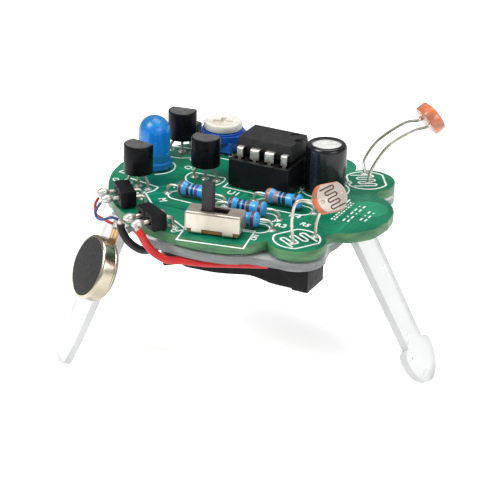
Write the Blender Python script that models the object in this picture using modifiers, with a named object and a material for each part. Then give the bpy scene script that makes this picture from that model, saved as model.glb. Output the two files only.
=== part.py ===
"""A light-seeking vibration robot: an oval circuit board on three clear plastic legs.

Lengths are millimetres in the board's own frame: +X to the nose, +Y to the robot's left, Z = 0 on the
board's top face. The empty board_frame carries that frame into the world, where the feet stand on Z = 0.
"""

import math

import bmesh
import bpy
from mathutils import Matrix, Vector

MM = 0.001
OBJECT_NAME = "light_seeking_robot"

# Where the board stands over the floor, and how far its frame lies from the middle of the whole robot.
BOARD_TOP = 25.2
CENTRE_X = 3.22
CENTRE_Y = -0.586

# Stack under the components.
BOARD_T = 1.6
PLATE_TOP = -2.05
PLATE_T = 1.2
PLATE_BOTTOM = PLATE_TOP - PLATE_T
TAPE_T = 0.3
LAYER_GAP = 0.1
HOLDER_TOP = PLATE_BOTTOM - TAPE_T - 2 * LAYER_GAP

# Component leads and their holes.
LEAD_R = 0.25
HOLE_R = 0.5
LEAD_BOTTOM = -2.75
SOLDER_TOP = -BOARD_T - 0.1
SOLDER_BOTTOM = -2.55
SOLDER_R = 0.7
SOLDER_TIP_R = 0.45
SLOT_R = 0.92
HOLE_SIDES = 6

# Faces that meet at more than this angle keep a sharp edge between them.
SHARP_ANGLE = math.radians(35.0)

# Legs, cut from the same clear sheet as the plate.
LEG_W = 6.0
BEND_R = 1.6
FRONT_BEND_X = 16.5
FRONT_SLOPE = math.radians(60.3)
REAR_BEND = (-15.4, 14.1)
REAR_HEADING = math.radians(129.7)
REAR_SLOPE = math.radians(67.2)

# Coin vibration motor on the right rear leg.
MOTOR_R = 5.0
MOTOR_T = 2.4
MOTOR_PAD_R = 4.45
MOTOR_WALL = 0.3
FLEX_W = 2.4
FLEX_RISE = 2.6
FLEX_LEAN = math.radians(4.0)
MOTOR_DOWN = 6.3
MOTOR_ASIDE = 2.45
MOTOR_BACK = 1.15

# Cell holder.
HOLDER_X, HOLDER_Y = 1.2, -4.2
HOLDER_R = 11.5
CELL_R = 10.0
CELL_T = 2.5
POCKET_R = 10.4
HOLDER_FLOOR = 0.8
TALL_BOTTOM = -8.6
WALL_SINK = 0.3
HOLDER_SIDES = 64
SCOOP = [(-130, TALL_BOTTOM), (-120, -8.1), (-111, -7.6), (-97, -7.2), (-84, -6.9), (-72, -6.7), (-65, -6.7),
         (-57, -7.3), (-49, -8.2), (-44, TALL_BOTTOM)]

# Component places.
SOCKET_X, SOCKET_Y = 0.0, 5.0
SOCKET_SIZE = 10.16
SOCKET_TOP = 4.7
PIN_PITCH = 2.54
ROW_HALF = 3.81
IC_TOP = 7.8
SWITCH_X, SWITCH_Y = 1.15, -16.7
SWITCH_TURN = math.radians(11.0)
SWITCH_L, SWITCH_W, SWITCH_H = 8.6, 3.6, 3.65
SWITCH_PITCH = 2.5
LEVER_OFFSET = -1.1
LED_X, LED_Y = -18.9, 1.4
CAP_X, CAP_Y = 8.5, 6.4
CAP_PITCH = 2.5
TRIM_X, TRIM_Y = -12.9, 13.4
TRANSISTORS = [
    (-17.3, -6.7, math.radians(-11.0)),
    (-18.1, 9.3, math.radians(10.0)),
    (-9.6, 1.0, math.radians(3.5)),
]
TRANSISTOR_BASE = 2.4
TRANSISTOR_H = 4.7
LEAD_SPREAD = 1.9
RESISTORS = [
    (-7.0, -7.0, math.radians(-1.0)),
    (2.4, -8.5, math.radians(8.0)),
    (3.2, -12.6, math.radians(9.5)),
    (5.9, -3.0, math.radians(1.0)),
]
RESISTOR_Z = 1.4
RESISTOR_FOOT = 5.0
LDR_LEFT_FEET = [(11.3, 15.3), (13.3, 12.3)]
LDR_RIGHT_FEET = [(12.8, -14.3), (14.7, -10.6)]
HEADER_MOTOR = (-15.8, -13.6, math.radians(-48.0))
HEADER_BATTERY = (-8.1, -19.2, math.radians(-33.0))
HEADER_SIZE = 2.54
HEADER_Z = 1.5
HEADER_FOOT = 1.5
HEADER_FAN = 1.9

# Insulated leads.
BATTERY_LEAD_R = 0.6
MOTOR_LEAD_R = 0.22

parts = bpy.data.collections.new(OBJECT_NAME)
cutters = bpy.data.collections.new("cutters")
board_frame = None


# ---------------------------------------------------------------- scene and materials

def clear_scene():
    for item in list(bpy.data.objects):
        bpy.data.objects.remove(item, do_unlink=True)
    bpy.context.scene.collection.children.link(parts)
    bpy.context.scene.collection.children.link(cutters)


def material(name, colour, roughness=0.5, metallic=0.0, alpha=1.0):
    found = bpy.data.materials.get(name)
    if found:
        return found
    made = bpy.data.materials.new(name)
    made.use_nodes = True
    shader = made.node_tree.nodes["Principled BSDF"]
    shader.inputs["Base Color"].default_value = (*colour, 1.0)
    shader.inputs["Roughness"].default_value = roughness
    shader.inputs["Metallic"].default_value = metallic
    shader.inputs["Alpha"].default_value = alpha
    return made


def black_plastic():
    return material("black_plastic", (0.02, 0.02, 0.022), 0.4)


def tinned_metal():
    return material("tinned_metal", (0.7, 0.68, 0.64), 0.35, 1.0)


def white_foam():
    return material("white_foam", (0.8, 0.8, 0.76), 0.9)


def clear_acrylic():
    return material("clear_acrylic", (0.9, 0.93, 0.93), 0.08, 0.0, 0.35)


# ---------------------------------------------------------------- building blocks

def to_frame(item, location=(0, 0, 0), rotation=None):
    """Places an item in the board's frame."""
    item.parent = board_frame
    turn = rotation.to_4x4() if rotation else Matrix.Identity(4)
    item.matrix_local = Matrix.Translation(Vector(location) * MM) @ turn


def add(name, data, surface, location=(0, 0, 0), rotation=None, collection=None):
    item = bpy.data.objects.new(name, data)
    (collection or parts).objects.link(item)
    if surface:
        data.materials.clear()
        data.materials.append(surface)
    to_frame(item, location, rotation)
    return item


def turn_z(angle):
    return Matrix.Rotation(angle, 3, "Z")


def mesh_of(name, build):
    """A mesh drawn in millimetres by build(bm)."""
    work = bmesh.new()
    build(work)
    bmesh.ops.scale(work, vec=(MM, MM, MM), verts=work.verts)
    mesh = bpy.data.meshes.new(name)
    work.to_mesh(mesh)
    work.free()
    return mesh


def cuboid(bm, size, centre, turn=None):
    made = bmesh.ops.create_cube(bm, size=1.0)["verts"]
    bmesh.ops.scale(bm, vec=size, verts=made)
    if turn:
        bmesh.ops.rotate(bm, verts=made, matrix=turn)
    bmesh.ops.translate(bm, vec=centre, verts=made)
    return made


def rod(bm, radius, bottom, top, at=(0, 0), sides=12, top_radius=None):
    tip = radius if top_radius is None else top_radius
    made = bmesh.ops.create_cone(
        bm, cap_ends=True, segments=sides, radius1=radius, radius2=tip, depth=top - bottom)["verts"]
    bmesh.ops.translate(bm, vec=(at[0], at[1], (top + bottom) / 2), verts=made)
    return made


def ring_points(radius, sides, centre=(0, 0), start=0.0, sweep=2 * math.pi):
    closed = abs(sweep) > 2 * math.pi - 1e-6
    steps = sides if closed else sides + 1
    return [(centre[0] + radius * math.cos(start + sweep * i / sides),
             centre[1] + radius * math.sin(start + sweep * i / sides)) for i in range(steps)]


def flat_curve(name, loops, thickness):
    """A filled 2D curve: the first loop is the outline and the others are its holes."""
    curve = bpy.data.curves.new(name, "CURVE")
    curve.dimensions = "2D"
    curve.fill_mode = "BOTH"
    curve.extrude = thickness / 2 * MM
    for loop in loops:
        spline = curve.splines.new("POLY")
        spline.points.add(len(loop) - 1)
        spline.use_cyclic_u = True
        for point, (x, y) in zip(spline.points, loop):
            point.co = (x * MM, y * MM, 0, 1)
    return curve


def flat_mesh(name, loops, thickness):
    """The same outline as a welded mesh."""
    curve = flat_curve(name, loops, thickness)
    item = bpy.data.objects.new(name + "_outline", curve)
    cutters.objects.link(item)
    graph = bpy.context.evaluated_depsgraph_get()
    mesh = bpy.data.meshes.new_from_object(item.evaluated_get(graph))
    bpy.data.objects.remove(item, do_unlink=True)
    work = bmesh.new()
    work.from_mesh(mesh)
    bmesh.ops.remove_doubles(work, verts=work.verts, dist=1e-6)
    bmesh.ops.recalc_face_normals(work, faces=work.faces)
    work.to_mesh(mesh)
    work.free()
    return mesh


def upright(mesh):
    """Stands a flat mesh up: its X stays, its Y becomes Z."""
    mesh.transform(Matrix.Rotation(math.pi / 2, 4, "X"))
    return mesh


def turned(name, profile, surface, location=(0, 0, 0), rotation=None, sides=24, collection=None):
    """A turned piece from an (r, z) profile that starts on the axis and ends on it, or closes on itself."""
    mesh = bpy.data.meshes.new(name)
    verts = [(r * MM, 0, z * MM) for r, z in profile]
    edges = [(i, i + 1) for i in range(len(profile) - 1)]
    if profile[0][0] > 0:
        edges.append((len(profile) - 1, 0))
    mesh.from_pydata(verts, edges, [])
    item = add(name, mesh, surface, location, rotation, collection)
    screw = item.modifiers.new("turn", "SCREW")
    screw.steps = sides
    screw.render_steps = sides
    screw.use_merge_vertices = True
    screw.merge_threshold = 1e-6
    screw.use_smooth_shade = False
    return item


def smooth_route(points, steps=5):
    """Catmull-Rom samples through the points, ends included."""
    run = [Vector(p) for p in points]
    run = [2 * run[0] - run[1]] + run + [2 * run[-1] - run[-2]]
    out = []
    for i in range(1, len(run) - 2):
        a, b, c, d = run[i - 1:i + 3]
        for k in range(steps):
            t = k / steps
            out.append(0.5 * (2 * b + (c - a) * t + (2 * a - 5 * b + 4 * c - d) * t * t
                              + (3 * b - a - 3 * c + d) * t ** 3))
    out.append(run[-2])
    return out


def tube(name, route, radius, surface, resolution=1, collection=None):
    """A closed round tube along (x, y, z) points; a fourth number is that point's own radius."""
    curve = bpy.data.curves.new(name, "CURVE")
    curve.dimensions = "3D"
    curve.bevel_depth = radius * MM
    curve.bevel_resolution = resolution
    curve.use_fill_caps = True
    spline = curve.splines.new("POLY")
    spline.points.add(len(route) - 1)
    for point, place in zip(spline.points, route):
        point.co = (*(Vector(place[:3]) * MM), 1)
        if len(place) > 3:
            point.radius = place[3] / radius
    return add(name, curve, surface, collection=collection)


def soldered(foot):
    """The lower end of a lead: down through the board to a cone of solder under it."""
    return [(*foot, SOLDER_TOP + 0.04), (*foot, SOLDER_TOP, SOLDER_R), (*foot, SOLDER_BOTTOM, SOLDER_TIP_R),
            (*foot, SOLDER_BOTTOM - 0.08), (*foot, LEAD_BOTTOM)]


def with_leads(item, routes):
    """Joins leads to the piece that they are moulded into."""
    for route in routes:
        lead = welded(tube("lead", route, LEAD_R, None, collection=cutters))
        boolean(item, lead, "UNION")
    return item


def evaluated_mesh(item):
    graph = bpy.context.evaluated_depsgraph_get()
    return bpy.data.meshes.new_from_object(item.evaluated_get(graph))


def baked(item):
    """Replaces an item's modifiers with their result."""
    mesh = evaluated_mesh(item)
    item.modifiers.clear()
    item.data = mesh
    return item


def welded(curve_item):
    """A curve turned into a mesh whose caps are joined to its walls."""
    mesh = evaluated_mesh(curve_item)
    work = bmesh.new()
    work.from_mesh(mesh)
    bmesh.ops.remove_doubles(work, verts=work.verts, dist=1e-6)
    bmesh.ops.recalc_face_normals(work, faces=work.faces)
    work.to_mesh(mesh)
    work.free()
    item = bpy.data.objects.new(curve_item.name + "_mesh", mesh)
    cutters.objects.link(item)
    item.parent = board_frame
    item.matrix_local = curve_item.matrix_local
    bpy.data.objects.remove(curve_item, do_unlink=True)
    return item


def boolean(item, tool, operation="DIFFERENCE"):
    step = item.modifiers.new(operation.lower(), "BOOLEAN")
    step.operation = operation
    step.solver = "EXACT"
    step.object = tool
    baked(item)
    bpy.data.objects.remove(tool, do_unlink=True)
    return item


def cutter(name, build, location=(0, 0, 0), rotation=None):
    item = add(name, mesh_of(name, build), None, location, rotation, cutters)
    item.hide_render = True
    item.display_type = "WIRE"
    return item


def cross_cutter(length, width, depth, degrees, location):
    """A plus-shaped prism for a cross slot."""
    a, b = length / 2, width / 2
    arm = [(a, -b), (a, b), (b, b)]
    outline = [(x * c - y * s, x * s + y * c) for c, s in ((1, 0), (0, 1), (-1, 0), (0, -1)) for x, y in arm]
    turn = turn_z(math.radians(degrees))
    return add("cross", flat_mesh("cross", [outline], depth), None, location, turn, cutters)


def soften(item, width, segments=1, angle=35):
    bevel = item.modifiers.new("soften", "BEVEL")
    bevel.width = width * MM
    bevel.segments = segments
    bevel.limit_method = "ANGLE"
    bevel.angle_limit = math.radians(angle)
    return item


# ---------------------------------------------------------------- places of the leads

def around(centre, angle, offset):
    """A point at offset (along, across) from a centre, in a frame turned by angle."""
    c, s = math.cos(angle), math.sin(angle)
    return (centre[0] + offset[0] * c - offset[1] * s, centre[1] + offset[0] * s + offset[1] * c)


def lead_rows():
    """Every row of leads that goes through the board, as lists of (x, y)."""
    rows = [[(LED_X, LED_Y - PIN_PITCH / 2), (LED_X, LED_Y + PIN_PITCH / 2)]]
    rows += [[around((x, y), a, (d, 0)) for d in (-LEAD_SPREAD, 0, LEAD_SPREAD)] for x, y, a in TRANSISTORS]
    rows += [[around((x, y), a, (d, 0))] for x, y, a in RESISTORS for d in (-RESISTOR_FOOT, RESISTOR_FOOT)]
    for side in (-1, 1):
        rows.append([(SOCKET_X + (i - 1.5) * PIN_PITCH, SOCKET_Y + side * ROW_HALF) for i in range(4)])
    rows.append([around((SWITCH_X, SWITCH_Y), SWITCH_TURN, (d, 0)) for d in (-SWITCH_PITCH, 0, SWITCH_PITCH)])
    rows.append([(CAP_X - CAP_PITCH / 2, CAP_Y), (CAP_X + CAP_PITCH / 2, CAP_Y)])
    rows.append(trimmer_feet())
    rows.append(LDR_LEFT_FEET)
    rows.append(LDR_RIGHT_FEET)
    rows.append(header_feet(HEADER_MOTOR))
    rows.append(header_feet(HEADER_BATTERY))
    return rows


def trimmer_feet():
    return [(TRIM_X + d, TRIM_Y - 1.7) for d in (-2.5, 0, 2.5)]


def header_feet(header):
    x, y, a = header
    back = HEADER_SIZE / 2 + HEADER_FOOT
    return [around((x, y), a, (d, back)) for d in (-PIN_PITCH / 2, PIN_PITCH / 2)]


def slot_loop(row, radius, arc_steps=5):
    """A stadium around a straight row of leads."""
    if len(row) == 1:
        return ring_points(radius, 2 * arc_steps, row[0])
    first, last = row[0], row[-1]
    along = math.atan2(last[1] - first[1], last[0] - first[0])
    half = math.pi / 2
    return (ring_points(radius, arc_steps, last, along - half, math.pi)
            + ring_points(radius, arc_steps, first, along + half, math.pi))


# ---------------------------------------------------------------- board and leg plate

def open_run(points, steps):
    return [(p.x, p.y) for p in smooth_route([(x, y, 0) for x, y in points], steps)]


LOBE_X, LOBE_Y, LOBE_R = 12.8, 12.9, 4.4


def body_run():
    """Left edge of the oval body, from the lobe's notch to the tail tip."""
    return open_run([(7.4, 17.9), (4.6, 19.5), (0.5, 20.3), (-4.5, 20.2), (-10.0, 18.9), (-15.6, 16.0),
                     (-20.2, 10.9), (-23.2, 5.0), (-24.2, 0.0)], 3)


def both_sides(half):
    """Closes a left-hand run, nose to tail, with its mirror image."""
    mirrored = [(x, -y) for x, y in reversed(half) if y > 1e-6]
    return half + mirrored


def board_outline():
    nose = open_run([(21.9, 0.0), (21.2, 3.9), (18.9, 7.0), (16.9, 7.9)], 4)
    lobe = ring_points(LOBE_R, 10, (LOBE_X, LOBE_Y), math.radians(-42), math.radians(187))
    return both_sides(nose + [(16.3, 8.8)] + lobe + [(8.7, 16.1)] + body_run())


def plate_outline():
    front = [(FRONT_BEND_X, 0.0), (FRONT_BEND_X, 6.4), (16.2, 8.4)]
    lobe = ring_points(LOBE_R, 7, (LOBE_X, LOBE_Y), math.radians(-25), math.radians(125))
    return both_sides(front + lobe + body_run())


def circuit_board():
    holes = [ring_points(HOLE_R, HOLE_SIDES, lead) for row in lead_rows() for lead in row]
    mesh = flat_mesh("circuit_board", [board_outline()] + holes, BOARD_T)
    return add("circuit_board", mesh, material("green_solder_mask", (0.01, 0.16, 0.09), 0.35),
               (0, 0, -BOARD_T / 2))


def leg_frame(bend, heading, slope):
    """Rotation whose X runs down the leg, Y across it and Z out of its outer face."""
    out = Vector((math.cos(heading), math.sin(heading), 0))
    down = out * math.cos(slope) - Vector((0, 0, math.sin(slope)))
    across = Vector((0, 0, 1)).cross(out)
    normal = down.cross(across)
    turn = Matrix((down, across, normal)).transposed()
    middle = PLATE_TOP - PLATE_T / 2
    start = Vector((*bend, middle)) + out * BEND_R * math.sin(slope)
    start.z -= BEND_R * (1 - math.cos(slope))
    return start, turn


def bend_piece(bend, heading, slope, width):
    """The curved strip between the plate and a leg."""
    inner = BEND_R - PLATE_T / 2 + 0.01
    outer = BEND_R + PLATE_T / 2 - 0.01
    steps = 6
    angles = [slope * i / steps for i in range(steps + 1)]
    low = [(inner * math.sin(a), inner * math.cos(a)) for a in angles]
    high = [(outer * math.sin(a), outer * math.cos(a)) for a in angles]
    tail = (math.cos(slope), -math.sin(slope))
    low.append((low[-1][0] + tail[0], low[-1][1] + tail[1]))
    high.append((high[-1][0] + tail[0], high[-1][1] + tail[1]))
    outline = [(-0.5, inner)] + low + list(reversed(high)) + [(-0.5, outer)]
    mesh = upright(flat_mesh("bend", [outline], width))
    middle = PLATE_TOP - PLATE_T / 2
    return add("bend", mesh, None, (*bend, middle - BEND_R), turn_z(heading), cutters)


def leg_length(slope):
    """Length of a leg whose lowest edge stands on the floor."""
    start_z = PLATE_TOP - PLATE_T / 2 - BEND_R * (1 - math.cos(slope))
    return (start_z + BOARD_TOP - PLATE_T / 2 * math.cos(slope)) / math.sin(slope)


def front_leg_outline():
    """Down the leg: a straight strip, then a hoof with two small barbs."""
    half = LEG_W / 2
    foot = leg_length(FRONT_SLOPE)
    side = [(-0.2, half), (0.74 * foot, half - 0.35), (0.755 * foot, half + 1.1),
            (0.80 * foot, half + 1.5), (0.87 * foot, half + 1.25), (0.94 * foot, half + 0.1),
            (0.985 * foot, half - 1.5), (foot, half - 2.7)]
    return side + [(x, -y) for x, y in reversed(side)]


def rear_leg_outline():
    """Down the leg: a strip that narrows a little to a rounded tip."""
    half = LEG_W / 2
    foot = leg_length(REAR_SLOPE)
    tip = ring_points(2.0, 6, (foot - 2.0, 0), math.radians(60), math.radians(-120))
    side = [(-0.2, half), (0.45 * foot, half - 0.05), (0.80 * foot, half - 0.55)]
    return side + tip + [(x, -y) for x, y in reversed(side)]


def legs():
    """(outline, bend point, heading, slope) of each leg."""
    x, y = REAR_BEND
    return [(front_leg_outline(), (FRONT_BEND_X, 0.0), 0.0, FRONT_SLOPE),
            (rear_leg_outline(), (x, y), REAR_HEADING, REAR_SLOPE),
            (rear_leg_outline(), (x, -y), -REAR_HEADING, REAR_SLOPE)]


def leg_plate():
    slots = [slot_loop(row, SLOT_R) for row in lead_rows()]
    mesh = flat_mesh("leg_plate", [plate_outline()] + slots, PLATE_T)
    plate = add("leg_plate", mesh, clear_acrylic(), (0, 0, PLATE_TOP - PLATE_T / 2))
    for outline, bend, heading, slope in legs():
        if heading:
            boolean(plate, cutter("rear_trim", lambda bm: cuboid(bm, (8, 15, 4), (4, 0, 0)),
                                  (*bend, PLATE_TOP), turn_z(heading)))
        start, turn = leg_frame(bend, heading, slope)
        leg = add("leg", flat_mesh("leg", [outline], PLATE_T), None, start, turn, cutters)
        strip = boolean(bend_piece(bend, heading, slope, LEG_W - 0.04), leg, "UNION")
        boolean(plate, strip, "UNION")
    return plate


def plate_pad():
    """Adhesive pad that holds the plate to the board."""
    thickness = -BOARD_T - PLATE_TOP - 2 * LAYER_GAP
    mesh = mesh_of("plate_pad", lambda bm: cuboid(bm, (5.4, 2.4, thickness), (0, 0, 0)))
    return add("plate_pad", mesh, white_foam(), (-13.8, -1.8, (PLATE_TOP - BOARD_T) / 2))


# ---------------------------------------------------------------- cell holder

def wall_bottom(angle):
    """Height of the wall's lower edge at an angle in degrees: level, but for a finger scoop at one side."""
    for (a, low), (b, high) in zip(SCOOP, SCOOP[1:]):
        if a <= angle <= b:
            return low + (high - low) * (angle - a) / (b - a)
    return TALL_BOTTOM


def holder_wall():
    """The round wall between the pocket and the outside, closed on itself."""
    top = HOLDER_TOP - WALL_SINK

    def build(bm):
        rows = []
        for i in range(HOLDER_SIDES):
            degrees = 360.0 * i / HOLDER_SIDES - 180.0
            angle = math.radians(degrees)
            bottom = wall_bottom(degrees)
            corners = ((HOLDER_R, top), (POCKET_R, top), (POCKET_R, bottom), (HOLDER_R, bottom))
            rows.append([bm.verts.new((r * math.cos(angle), r * math.sin(angle), z)) for r, z in corners])
        for row, following in zip(rows, rows[1:] + rows[:1]):
            for k in range(4):
                n = (k + 1) % 4
                bm.faces.new((row[k], row[n], following[n], following[k]))
        bmesh.ops.recalc_face_normals(bm, faces=bm.faces)
    return add("wall", mesh_of("wall", build), None, (HOLDER_X, HOLDER_Y, 0), None, cutters)


def battery_holder():
    """A round cup that opens downwards, with a terminal block at one side and a lug at the other."""
    outline = ring_points(HOLDER_R, HOLDER_SIDES, (0, 0), -math.pi)
    floor = flat_mesh("battery_holder", [outline, ring_points(2.2, 16, (-4.0, 0))], HOLDER_FLOOR)
    middle = (HOLDER_X, HOLDER_Y, HOLDER_TOP - HOLDER_FLOOR / 2)
    holder = add("battery_holder", floor, black_plastic(), middle)
    boolean(holder, holder_wall(), "UNION")
    outline = [(9.0, -7.5), (9.0, -12.1), (12.05, -12.1), (12.05, -12.55), (14.65, -12.55), (14.65, -6.95),
               (12.05, -6.95), (12.05, -7.5)]
    block = flat_mesh("block", [outline], HOLDER_TOP - TALL_BOTTOM - 0.16)
    middle = (0, 0, (HOLDER_TOP + TALL_BOTTOM) / 2 - 0.12)
    boolean(holder, add("block", block, None, middle, None, cutters), "UNION")
    lug_outline = [(-1.5, 0.4), (1.5, 0.4), (1.3, -3.2), (0.35, -4.6), (-0.35, -4.6), (-1.3, -3.2)]
    lug = upright(flat_mesh("lug", [lug_outline], 2.8))
    lug = add("lug", lug, None, (-8.1, -12.7, HOLDER_TOP - 0.5), turn_z(math.radians(-47)), cutters)
    boolean(holder, lug, "UNION")
    return boolean(holder, pocket_cutter())


def pocket_cutter():
    """Clears the round pocket for the cell, and the slot that shows on the block's end."""
    def build(bm):
        middle = (HOLDER_X, HOLDER_Y)
        rod(bm, POCKET_R - 0.02, TALL_BOTTOM - 1, HOLDER_TOP - HOLDER_FLOOR, middle, HOLDER_SIDES)
    tool = cutter("pocket", build)
    slot = cutter("slot", lambda bm: cuboid(bm, (1.6, 0.6, 1.3), (14.4, -8.6, HOLDER_TOP - 1.7)))
    return boolean(tool, slot, "UNION")


def holder_tape():
    return turned("holder_tape", [(0, TAPE_T), (8.0, TAPE_T), (8.0, 0), (0, 0)],
                  white_foam(),
                  (HOLDER_X, HOLDER_Y, HOLDER_TOP + LAYER_GAP), None, 32)


CELL_TOP = HOLDER_TOP - HOLDER_FLOOR - 0.35


def coin_cell():
    edge = 0.2
    profile = [(0, 0), (CELL_R - edge, 0), (CELL_R, -edge), (CELL_R, edge - CELL_T), (CELL_R - edge, -CELL_T),
               (0, -CELL_T)]
    return turned("coin_cell", profile, tinned_metal(), (HOLDER_X, HOLDER_Y, CELL_TOP), None, 48)


def cell_contacts():
    """A flat spring on the floor under the cell, and a tab on the wall for the cell's rim."""
    z = CELL_TOP + 0.18
    place = (HOLDER_X + 2, HOLDER_Y, z)
    mesh = mesh_of("cell_contact_negative", lambda bm: cuboid(bm, (9.0, 2.4, 0.14), place))
    add("cell_contact_negative", mesh, tinned_metal())
    tab = mesh_of("cell_contact_positive", lambda bm: cuboid(bm, (0.3, 2.2, 0.9), (0, 0, 0)))
    place = (7.8, -14.1, HOLDER_TOP - 0.75)
    add("cell_contact_positive", tab, tinned_metal(), place, turn_z(math.radians(-56)))


# ---------------------------------------------------------------- socket and chip

def pin_places():
    return [(SOCKET_X + (i - 1.5) * PIN_PITCH, SOCKET_Y + side * ROW_HALF, side)
            for side in (-1, 1) for i in range(4)]


def rectangle(size_x, size_y, centre=(0, 0)):
    x, y = size_x / 2, size_y / 2
    return [(centre[0] + a * x, centre[1] + b * y) for a, b in ((-1, -1), (1, -1), (1, 1), (-1, 1))]


def dip_socket():
    slots = [rectangle(1.5, 1.3, (x - SOCKET_X, y - SOCKET_Y)) for x, y, side in pin_places()]
    loops = [rectangle(SOCKET_SIZE, SOCKET_SIZE), rectangle(5.0, 3.6)] + slots
    height = SOCKET_TOP - 0.35
    item = add("dip_socket", flat_mesh("dip_socket", loops, height), black_plastic(),
               (SOCKET_X, SOCKET_Y, 0.35 + height / 2))
    return item


def socket_contacts():
    """Fork contacts: two leaves that grip a chip leg, on a pin through the board, each with its solder."""
    base = 0.9
    half = [(0.25, 1.0), (0.25, 2.0), (0.5, 2.0), (0.5, 0.2), (0.2, -0.2), (0.2, SOLDER_TOP - base),
            (SOLDER_R, SOLDER_TOP - base), (SOLDER_TIP_R, SOLDER_BOTTOM - base), (0.2, SOLDER_BOTTOM - base),
            (0.2, LEAD_BOTTOM - base)]
    fork = half + [(-x, z) for x, z in reversed(half)]
    for number, (x, y, side) in enumerate(pin_places(), 1):
        mesh = upright(flat_mesh("fork", [fork], 0.5))
        add(f"socket_contact_{number}", mesh, tinned_metal(), (x, y, base), turn_z(math.pi / 2))


def ic():
    """The chip: a moulded body with a notch and a pin-one dimple, and eight bent legs."""
    bottom = SOCKET_TOP + 0.35
    mesh = mesh_of("ic", lambda bm: cuboid(bm, (9.2, 6.2, IC_TOP - bottom), (0, 0, 0)))
    item = add("ic", mesh, black_plastic(), (SOCKET_X, SOCKET_Y, (IC_TOP + bottom) / 2))
    soften(item, 0.25)
    baked(item)
    boolean(item, cutter("notch", lambda bm: rod(bm, 0.8, -0.5, 0.5, (0, 0), 16),
                         (SOCKET_X + 4.6, SOCKET_Y, IC_TOP)))
    boolean(item, cutter("dimple", lambda bm: rod(bm, 0.45, -0.25, 0.25, (0, 0), 12),
                         (SOCKET_X + 3.5, SOCKET_Y - 2.0, IC_TOP)))
    for leg in ic_legs():
        boolean(item, leg, "UNION")
    return item


def ic_legs():
    """Each leg leaves the body's side, turns down and narrows into the socket."""
    shoulder = SOCKET_TOP + 1.7
    made = []
    for x, y, side in pin_places():
        bent = [(-0.95, shoulder), (0.05, shoulder), (0.12, shoulder - 0.2), (0.12, SOCKET_TOP + 0.1),
                (-0.12, SOCKET_TOP + 0.1), (-0.12, shoulder - 0.25), (-0.95, shoulder - 0.25)]
        turn = turn_z(side * math.pi / 2)
        top = add("leg_top", upright(flat_mesh("leg_top", [bent], 1.45)), None, (x, y, 0), turn, cutters)
        pin = mesh_of("leg_pin", lambda bm: cuboid(bm, (0.2, 0.5, 3.0), (0, 0, SOCKET_TOP - 1.2)))
        pin = add("leg_pin", pin, None, (x, y, 0), turn, cutters)
        made.append(boolean(top, pin, "UNION"))
    return made


# ---------------------------------------------------------------- slide switch

def in_switch(name, mesh, surface, offset=(0, 0, 0), collection=None):
    place = around((SWITCH_X, SWITCH_Y), SWITCH_TURN, offset[:2])
    return add(name, mesh, surface, (*place, offset[2]), turn_z(SWITCH_TURN), collection)


def switch_case():
    """A thin metal box, open below, with a slot for the lever and notches over the base."""
    wall = 0.25
    mesh = mesh_of("switch_case", lambda bm: cuboid(bm, (SWITCH_L, SWITCH_W, SWITCH_H - 0.25), (0, 0, 0)))
    item = in_switch("switch_case", mesh, material("nickel", (0.75, 0.72, 0.66), 0.3, 1.0),
                     (0, 0, (SWITCH_H + 0.25) / 2))
    soften(item, 0.3, 2)
    baked(item)

    def hollow(bm):
        cuboid(bm, (SWITCH_L - 2 * wall, SWITCH_W - 2 * wall, SWITCH_H), (0, 0, SWITCH_H / 2 - wall))
    boolean(item, in_switch("hollow", mesh_of("hollow", hollow), None, (0, 0, 0), cutters))

    def openings(bm):
        cuboid(bm, (4.2, 1.9, 1.2), (0, 0, SWITCH_H))
    boolean(item, in_switch("lever_slot", mesh_of("lever_slot", openings), None, (0, 0, 0), cutters))

    def notches(bm):
        for x, width in ((-4.0, 1.6), (0, 3.2), (4.0, 1.6)):
            cuboid(bm, (width, SWITCH_W + 1, 2.0), (x, 0, 0.05))
    boolean(item, in_switch("base_notches", mesh_of("base_notches", notches), None, (0, 0, 0), cutters))
    return item


def switch_base():
    """The phenolic base with its three riveted terminals."""
    mesh = mesh_of("switch_base", lambda bm: cuboid(bm, (SWITCH_L - 0.8, SWITCH_W - 0.8, 1.0), (0, 0, 0.8)))
    item = in_switch("switch_base", mesh, material("phenolic", (0.3, 0.16, 0.05), 0.7))
    feet = [around((SWITCH_X, SWITCH_Y), SWITCH_TURN, (d, 0)) for d in (-SWITCH_PITCH, 0, SWITCH_PITCH)]
    return with_leads(item, [[(*foot, 1.65)] + soldered(foot) for foot in feet])


def switch_slider():
    """The shoe inside the case and the lever that stands through the slot."""
    mesh = mesh_of("switch_slider", lambda bm: cuboid(bm, (4.4, 2.5, 0.7), (0, 0, 2.65)))
    item = in_switch("switch_slider", mesh, black_plastic(), (LEVER_OFFSET, 0, 0))
    lever = mesh_of("lever", lambda bm: cuboid(bm, (1.75, 1.5, 5.2), (0, 0, 5.3)))
    lever = in_switch("lever", lever, None, (LEVER_OFFSET, 0, 0), cutters)
    soften(lever, 0.18, 2)
    baked(lever)
    return boolean(item, lever, "UNION")


def switch_contact():
    """The strip under the shoe that bridges two terminals."""
    mesh = mesh_of("switch_contact", lambda bm: cuboid(bm, (3.4, 1.2, 0.2), (0, 0, 2.0)))
    in_switch("switch_contact", mesh, material("brass", (0.8, 0.6, 0.25), 0.3, 1.0), (LEVER_OFFSET, 0, 0))


# ---------------------------------------------------------------- round and moulded components

def led():
    dome = [(0, 8.6), (0.9, 8.43), (1.7, 7.93), (2.25, 7.18), (2.48, 6.2)]
    profile = dome + [(2.5, 1.4), (2.9, 1.3), (2.9, 0.3), (0, 0.3)]
    lens = turned("led", profile, material("blue_epoxy", (0.05, 0.2, 0.85), 0.25), (LED_X, LED_Y, 0))
    baked(lens)
    feet = [(LED_X, LED_Y + d) for d in (-PIN_PITCH / 2, PIN_PITCH / 2)]
    return with_leads(lens, [[(*foot, 0.8)] + soldered(foot) for foot in feet])


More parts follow.
